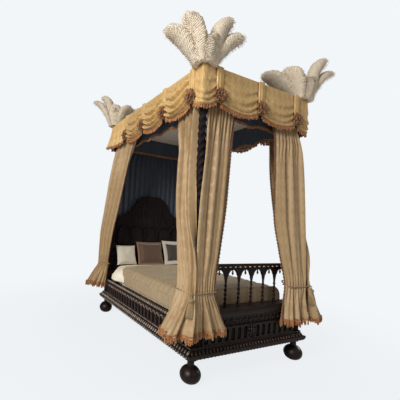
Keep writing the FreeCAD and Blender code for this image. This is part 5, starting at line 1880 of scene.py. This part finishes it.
def coverlet():
    """A silk cover over the bed with gathered sides, a drop at the foot and a corded edge."""
    low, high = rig.box("coverlet")
    line, across = coverlet_outline()
    foot = low.y + 0.010

    def place(u, v):
        spot, along = line[round(u * COVERLET_COLUMNS)]
        y = foot + (coverlet_head(u, high.y) - foot) * v
        outward = Vector((-along.z, 0, along.x))
        hang = 1 - smooth(low.z + 0.08, low.z + 0.13, spot.z)
        calm = smooth(0.0, 0.14, coverlet_head(u, high.y) - y)
        gather = 0.006 * math.sin(y * 150 + 2.0 * wander(y * 4, 1.0, spot.x)) * hang * calm
        flat = 1 - hang
        wrinkle = 0.0075 * wander(spot.x * 2.2 + y * 1.3, y * 5.5, 2.0)
        wrinkle += 0.004 * wander(spot.x * 3, y * 18, 5.0)
        pucker = 0.004 * math.sin(y * 62 + spot.x * 4) * smooth(0.45, 0.66, abs(spot.x)) * flat
        lift = max(-0.004, wrinkle * flat + pucker * calm) + gather + 0.002
        return Vector((spot.x, y, spot.z)) + outward * lift

    def drop(u, v):
        spot, along = line[round(u * COVERLET_COLUMNS)]
        fold = 0.005 * math.sin(spot.x * 34 + 1.5 * wander(spot.x * 3, v, 4.0)) * (1 - v)
        return Vector((spot.x, foot - 0.004 + fold, low.z + (spot.z - low.z) * v))
    top = lay_cloth("silk_coverlet", COVERLET_COLUMNS, 150, place, (across, high.y - low.y))
    end = lay_cloth("silk_coverlet_end", COVERLET_COLUMNS, 16, drop, (across, 0.22))
    piece = thicken(join([top, end], "silk_coverlet"), 0.006)
    dress(piece, FINISHES["coverlet"], "taupe_silk", "bedding", "coverlet")
    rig.sheet(piece, flat=(round(across, 2), 1.80), held="draped", rests_on=["mattress"])
    coverlet_cord(line, foot, high.y)


def coverlet_cord(line, foot, head):
    """The cord along the seam between the cover's top and its sides, and round its head end."""
    seam = next(k for k, (spot, along) in enumerate(line) if spot.z > MATTRESS_EDGE + 0.03)
    seam_end = coverlet_head(seam / COVERLET_COLUMNS, head)
    lift = 0.006
    spots = [(seam, foot + (seam_end - foot) * k / 60) for k in range(61)]
    for k in range(seam, COVERLET_COLUMNS - seam, 2):
        spots.append((k, coverlet_head(k / COVERLET_COLUMNS, head)))
    spots += [(COVERLET_COLUMNS - seam, seam_end + (foot - seam_end) * k / 60) for k in range(61)]
    points = []
    for k, y in spots:
        spot, along = line[k]
        points.append(Vector((spot.x - along.z * lift, y, spot.z + along.x * lift)))
    cording = tube("coverlet_cording", points, 0.005, 8)
    dress(cording, FINISHES["coverlet"], "taupe_silk", "bedding")


# Name, width, height, thickness, finish, slot and body of each pillow, and how its solid's size is eased
PILLOWS = {
    "pillow_cream": ("cream_pillow", 0.350, 0.340, 0.130, "pillow", "sheet_linen", "cream_pillow"),
    "pillow_brown": ("brown_pillow", 0.480, 0.390, 0.150, "brown", "brown_velvet", "brown_pillow"),
    "cushion_grey": ("grey_cushion", 0.492, 0.420, 0.140, "grey", "grey_velvet", "grey_cushion"),
}
PILLOW_EASE = 0.985
PILLOW_DRAW = 0.05
PILLOW_TILT = math.radians(20.0)
PUFF_REACH = 0.012


def puff(piece):
    """Swell a stuffed piece with a short cloth simulation, and hold it near its first form."""
    rest = [vertex.co.copy() for vertex in piece.data.vertices]
    take(piece)
    cloth = piece.modifiers.new("cloth", "CLOTH")
    cloth.settings.use_pressure = True
    cloth.settings.uniform_pressure_force = 4.0
    cloth.settings.mass = 0.2
    cloth.settings.tension_stiffness = 12.0
    cloth.settings.bending_stiffness = 0.4
    cloth.settings.effector_weights.gravity = 0.0
    cloth.point_cache.frame_start = 1
    cloth.point_cache.frame_end = 20
    for step in range(1, 21):
        bpy.context.scene.frame_set(step)
    bpy.ops.object.modifier_apply(modifier=cloth.name)
    bpy.context.scene.frame_set(1)
    for vertex, start in zip(piece.data.vertices, rest):
        move = vertex.co - start
        if move.length > PUFF_REACH:
            vertex.co = start + move.normalized() * PUFF_REACH


def pillow_form(name, width, height, seam, rise, seed):
    """A crowned cushion in the X-Z plane whose sides draw in between its corners."""
    piece = block(name, 27)
    for vertex in piece.data.vertices:
        a, b, c = vertex.co
        crown = max(0.0, (1 - abs(a) ** 2.6) * (1 - abs(c) ** 2.6)) ** 0.5
        dent = 1.0 + 0.16 * wander(a * 2.2, c * 2.2, seed)
        vertex.co = (a * width / 2 * (1 - PILLOW_DRAW * (1 - c * c)), b * (seam + rise * crown * dent),
                     c * height / 2 * (1 - PILLOW_DRAW * (1 - a * a)))
    mend_normals(piece)
    return piece


def stand_pillow(piece, low, high):
    """Lean a pillow back and move it to the place of its solid."""
    piece.data.transform(Matrix.Rotation(-PILLOW_TILT, 4, "X"))
    low_now = min(vertex.co.z for vertex in piece.data.vertices)
    back_now = max(vertex.co.y for vertex in piece.data.vertices)
    move = Vector(((low.x + high.x) / 2, high.y - back_now, low.z - low_now))
    piece.data.transform(Matrix.Translation(move))


def pillow(node, inset):
    """A stuffed pillow; inset leaves room for a flat border round it."""
    name, width, height, thickness, finish, slot, body = PILLOWS[node]
    low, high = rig.box(node)
    piece = pillow_form(name, width * PILLOW_EASE - 2 * inset, height * PILLOW_EASE - 2 * inset, 0.010,
                        thickness / 2 - PUFF_REACH, width * 10)
    modify(piece, "REMESH", mode="VOXEL", voxel_size=0.007)
    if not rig.quick():
        puff(piece)
    modify(piece, "SUBSURF", levels=1, render_levels=1)
    stand_pillow(piece, low, high)
    clear = Vector((0, -math.sin(PILLOW_TILT), math.cos(PILLOW_TILT))) * inset
    piece.data.transform(Matrix.Translation(clear))
    shade_smooth(piece, 80.0)
    dress(piece, FINISHES[finish], slot, body, node)
    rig.padded(piece, fill=0.7)


def pillow_flange(node, half_thick, finish, slot):
    """A flat stitched border round a pillow."""
    name, width, height, thickness, inner, inner_slot, body = PILLOWS[node]
    piece = pillow_form(name + "_border", width * PILLOW_EASE, height * PILLOW_EASE, 0.004, half_thick,
                        width * 7)
    host = bpy.data.objects[name]
    centre = sum((vertex.co for vertex in host.data.vertices), Vector()) / len(host.data.vertices)
    piece.data.transform(Matrix.Rotation(-PILLOW_TILT, 4, "X"))
    piece.data.transform(Matrix.Translation(centre))
    shade_smooth(piece, 80.0)
    dress(piece, FINISHES[finish], slot, body)
    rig.padded(piece, fill=0.1)


# Plumes

PLUME_SPOT = (0.73, 1.13, 2.975)
# Bearing in degrees, length, lean, curl, width and thickness of each feather; the head plumes are the foot
# plumes turned half round
LEFT_FEATHERS = [
    (156.0, 0.49, 32.0, 85.0, 0.255, 0.128),
    (190.0, 0.47, 13.0, 80.0, 0.235, 0.118),
    (-34.0, 0.51, 3.0, 95.0, 0.190, 0.160),
    (-20.0, 0.47, 30.0, 85.0, 0.170, 0.135),
    (60.0, 0.42, 14.0, 80.0, 0.190, 0.095),
    (110.0, 0.42, 20.0, 80.0, 0.190, 0.095),
    (235.0, 0.24, 8.0, 30.0, 0.170, 0.085),
    (280.0, 0.27, 4.0, 30.0, 0.180, 0.090),
]
RIGHT_FEATHERS = [
    (154.0, 0.53, 47.0, 60.0, 0.265, 0.133),
    (175.0, 0.40, 20.0, 75.0, 0.310, 0.155),
    (-34.0, 0.57, 3.0, 85.0, 0.160, 0.130),
    (-20.0, 0.52, 25.0, 75.0, 0.130, 0.095),
    (60.0, 0.34, 14.0, 80.0, 0.210, 0.105),
    (110.0, 0.38, 26.0, 80.0, 0.210, 0.105),
    (235.0, 0.24, 8.0, 30.0, 0.180, 0.090),
    (280.0, 0.26, 4.0, 30.0, 0.180, 0.090),
]
FEATHER_RING = 0.082
FEATHER_STEPS = 44


def feather_line(bearing, length, lean, curl):
    """Points of a feather's quill with the directions along it and out of its face."""
    heading = math.radians(bearing)
    outward = Vector((math.cos(heading), math.sin(heading), 0))
    across = Vector((-outward.y, outward.x, 0))
    spot = outward * FEATHER_RING
    rows = []
    for k in range(FEATHER_STEPS + 1):
        share = k / FEATHER_STEPS
        bend = math.radians(lean * min(1.0, 0.4 + share * 2.4) + curl * share ** 3.4)
        along = outward * math.sin(bend) + UP * math.cos(bend)
        facing = outward * math.cos(bend) - UP * math.sin(bend)
        rows.append((share, spot.copy(), along, facing))
        spot += along * (length / FEATHER_STEPS)
    return rows, across


def feather_width(share, width):
    """Narrower at the foot, full above the middle, round at the tip and closed at both ends."""
    opened = 0.62 + 0.38 * smooth(0.0, 0.55, share)
    past = max(0.0, (share - 0.66) / 0.34)
    return width * opened * min(1.0, share * FEATHER_STEPS) * math.sqrt(max(0.0, 1 - past * past))


def barb(points, faces, root, out, along, length, thick):
    """One loose barb: a closed three-sided sliver that lifts off the feather and droops at its tip."""
    start = len(points)
    steps = 2
    side = along.cross(out).normalized()
    for k in range(steps + 1):
        t = k / steps
        middle = root + (out * 0.75 + along * 0.65) * (length * t) - UP * (length * 0.5 * t * t)
        half = thick * (1 - 0.75 * t)
        points.append(middle + out * half)
        points.append(middle - out * half * 0.6 + side * half)
        points.append(middle - out * half * 0.6 - side * half)
    for k in range(steps):
        a = start + 3 * k
        for j in range(3):
            n = (j + 1) % 3
            faces.append((a + j, a + n, a + 3 + n, a + 3 + j))
    faces.append((start, start + 2, start + 1))
    last = start + 3 * steps
    faces.append((last, last + 1, last + 2))


def feather(points, faces, shape, barb_count, chance):
    """One feather: a rippled lobe round its quill, returned, and loose barbs, added to points and faces."""
    bearing, length, lean, curl, width, thick = shape
    fullness = thick / width
    rows, across = feather_line(bearing, length, lean, curl)

    def lobe_point(u, v):
        share, spot, along, facing = rows[round(v * FEATHER_STEPS)]
        angle = 2 * math.pi * (u - 0.25)
        ragged = 1.0 + 0.08 * wander(v * 13, 2.5 * math.cos(angle), bearing + 2.5 * math.sin(angle))
        ripple = 1.0 + 0.035 * math.sin(v * 75 - 6 * abs(math.cos(angle)))
        half = feather_width(share, width) / 2 * ragged * ripple
        return spot + across * (half * math.cos(angle)) + facing * (half * fullness * math.sin(angle))
    for k in range(barb_count):
        place = (k + chance.random()) / barb_count
        share, spot, along, facing = rows[min(FEATHER_STEPS, round(place * FEATHER_STEPS))]
        angle = chance.choice((0.0, 0.5, 1.0, 1.5)) * math.pi + chance.gauss(0.0, 0.35)
        out = across * math.cos(angle) + facing * (fullness * math.sin(angle))
        root = spot + out * (feather_width(share, width) * 0.46)
        barb(points, faces, root, out.normalized(), along, 0.018 + 0.016 * chance.random(), 0.0022)
    return lay_cloth("feather_lobe", 20, FEATHER_STEPS, lobe_point, (1.0, length))


def plume(corner, sign_x, sign_y, seed):
    """A bunch of ostrich feathers that springs from the corner and hides its cup."""
    chance = random.Random(seed)
    points = []
    faces = []
    barb_count = sizes().barb_rows
    feathers = LEFT_FEATHERS if sign_x * sign_y > 0 else RIGHT_FEATHERS
    lobes = [feather(points, faces, shape, barb_count, chance) for shape in feathers]
    barbs = mesh_object("barbs", points, faces)
    lobe = join(lobes, "feather_lobes")
    mend_normals(lobe)
    piece = join([lobe, barbs], "ostrich_plume_" + corner)
    if sign_y > 0:
        piece.data.transform(Matrix.Rotation(math.pi, 4, "Z"))
    piece.data.transform(Matrix.Translation((sign_x * PLUME_SPOT[0], sign_y * PLUME_SPOT[1], PLUME_SPOT[2])))
    outward_faces(piece)
    shade_smooth(piece, 70.0)
    dress(piece, FINISHES["feather"], "ostrich_feather", "bedstead", "plume_" + corner)


# Operators


class BED_OT_stage(bpy.types.Operator):
    """Set up the camera, floor, backdrop and lights."""

    bl_idname = "bed.stage"
    bl_label = "Stage"

    def execute(self, context):
        scene = context.scene
        scene.view_settings.view_transform = "Standard"
        camera()
        backdrop()
        floor()
        lamp("key", (-6.6, -3.0, 4.6), (0, -0.2, 1.6), 2.6, 480.0, (1.0, 0.97, 0.92))
        lamp("window", (4.6, -1.4, 2.0), (0, -0.6, 0.8), 1.6, 60.0, (1.0, 0.96, 0.88))
        lamp("fill", (1.5, -6.0, 3.2), (0, 0, 1.5), 4.0, 30.0, (1.0, 0.90, 0.80))
        return {"FINISHED"}


class BED_OT_finishes(bpy.types.Operator):
    """Build the node groups and materials."""

    bl_idname = "bed.finishes"
    bl_label = "Finishes"

    def execute(self, context):
        make_finishes()
        return {"FINISHED"}


class BED_OT_woodwork(bpy.types.Operator):
    """Finish the posts, rails and boards and add their carving."""

    bl_idname = "bed.woodwork"
    bl_label = "Woodwork"

    def execute(self, context):
        finish_woodwork()
        gadroons()
        capping_beads()
        plinth_fillet()
        frieze_screens()
        slot_arches()
        frieze_cartouche()
        lunettes()
        top_rail_roundels()
        arcade_pendants()
        spindles()
        headboard_arcade()
        return {"FINISHED"}


class BED_OT_metalwork(bpy.types.Operator):
    """Finish the curtain rods and rings."""

    bl_idname = "bed.metalwork"
    bl_label = "Rods and rings"

    def execute(self, context):
        finish_metalwork()
        return {"FINISHED"}


class BED_OT_valance(bpy.types.Operator):
    """Hang the valance, its corner swags, fringe and rosettes."""

    bl_idname = "bed.valance"
    bl_label = "Valance"

    def execute(self, context):
        hems = side_valance("left", -1) + side_valance("right", 1) + foot_valance()
        head_valance()
        hems.append(corner_swag("left", -1))
        hems.append(corner_swag("right", 1))
        swag_fringe(hems)
        rosettes()
        seam_shade_cords()
        return {"FINISHED"}


class BED_OT_linings(bpy.types.Operator):
    """Hang the lining inside the canopy, its ceiling and the drape at the head."""

    bl_idname = "bed.linings"
    bl_label = "Linings"

    def execute(self, context):
        inner_linings()
        back_drape()
        ceiling_cloth()
        return {"FINISHED"}


class BED_OT_curtains(bpy.types.Operator):
    """Hang the curtains, tied back at the posts."""

    bl_idname = "bed.curtains"
    bl_label = "Curtains"

    def execute(self, context):
        for k, side in enumerate(("left", "right")):
            curtain("side", side, SIDE_LEVELS, 5, FOOT_TIE, (0.68, 2.33), 3 + k)
            foot_levels = (FOOT_LEVELS, RIGHT_FOOT_LEVELS)[k]
            curtain("foot", side, foot_levels, 5, FOOT_TIE, (0.46, 2.33), 13 + k)
            curtain("head", side, HEAD_LEVELS, 8, HEAD_TIE, (0.62, 2.33), 23 + k)
        return {"FINISHED"}


class BED_OT_ties(bpy.types.Operator):
    """Tie the curtains with ropes and hang the tassels."""

    bl_idname = "bed.ties"
    bl_label = "Ties and tassels"

    def execute(self, context):
        tie_ropes()
        tassels()
        return {"FINISHED"}


class BED_OT_bedding(bpy.types.Operator):
    """Make up the mattress and its coverlet."""

    bl_idname = "bed.bedding"
    bl_label = "Bedding"

    def execute(self, context):
        mattress()
        coverlet()
        return {"FINISHED"}


class BED_OT_pillows(bpy.types.Operator):
    """Stuff the pillows and the cushion."""

    bl_idname = "bed.pillows"
    bl_label = "Pillows"

    def execute(self, context):
        pillow("pillow_cream", 0.0)
        pillow("pillow_brown", 0.016)
        pillow("cushion_grey", 0.045)
        pillow_flange("pillow_brown", 0.012, "tan", "brown_velvet")
        pillow_flange("cushion_grey", 0.016, "pillow", "sheet_linen")
        return {"FINISHED"}


class BED_OT_plumes(bpy.types.Operator):
    """Set the ostrich plumes in their cups."""

    bl_idname = "bed.plumes"
    bl_label = "Plumes"

    def execute(self, context):
        for k, (corner, sign_x, sign_y) in enumerate((("foot_left", -1, -1), ("foot_right", 1, -1),
                                                      ("head_left", -1, 1), ("head_right", 1, 1))):
            plume(corner, sign_x, sign_y, 60 + k)
        return {"FINISHED"}


STEPS = (BED_OT_stage, BED_OT_finishes, BED_OT_woodwork, BED_OT_metalwork, BED_OT_valance, BED_OT_linings,
         BED_OT_curtains, BED_OT_ties, BED_OT_bedding, BED_OT_pillows, BED_OT_plumes)


class BED_PT_panel(bpy.types.Panel):
    """Lists the steps that dress the bed."""

    bl_idname = "BED_PT_panel"
    bl_label = "Canopy bed"
    bl_space_type = "VIEW_3D"
    bl_region_type = "UI"
    bl_category = "Bed"

    def draw(self, context):
        for step in STEPS:
            self.layout.operator(step.bl_idname)
        for name in BedSizes.__annotations__:
            self.layout.prop(context.scene.bed_sizes, name)
        for name in BedColours.__annotations__:
            self.layout.prop(context.scene.bed_colours, name)


CLASSES = (BedColours, BedSizes) + STEPS + (BED_PT_panel,)


def register():
    for made in CLASSES:
        bpy.utils.register_class(made)
    bpy.types.Scene.bed_colours = bpy.props.PointerProperty(type=BedColours)
    bpy.types.Scene.bed_sizes = bpy.props.PointerProperty(type=BedSizes)


def unregister():
    del bpy.types.Scene.bed_sizes
    del bpy.types.Scene.bed_colours
    for made in reversed(CLASSES):
        bpy.utils.unregister_class(made)


def main():
    register()
    bpy.ops.bed.stage()
    bpy.ops.bed.finishes()
    bpy.ops.bed.woodwork()
    bpy.ops.bed.metalwork()
    bpy.ops.bed.valance()
    bpy.ops.bed.linings()
    bpy.ops.bed.curtains()
    bpy.ops.bed.ties()
    bpy.ops.bed.bedding()
    bpy.ops.bed.pillows()
    bpy.ops.bed.plumes()
    bpy.context.view_layer.update()
    boxes = {"cad": [list(corner) for corner in cad_box], "visual": [list(corner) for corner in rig.bounds()]}
    with open("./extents.json", "w") as out:
        json.dump(boxes, out)


if __name__ == "__main__":
    main()
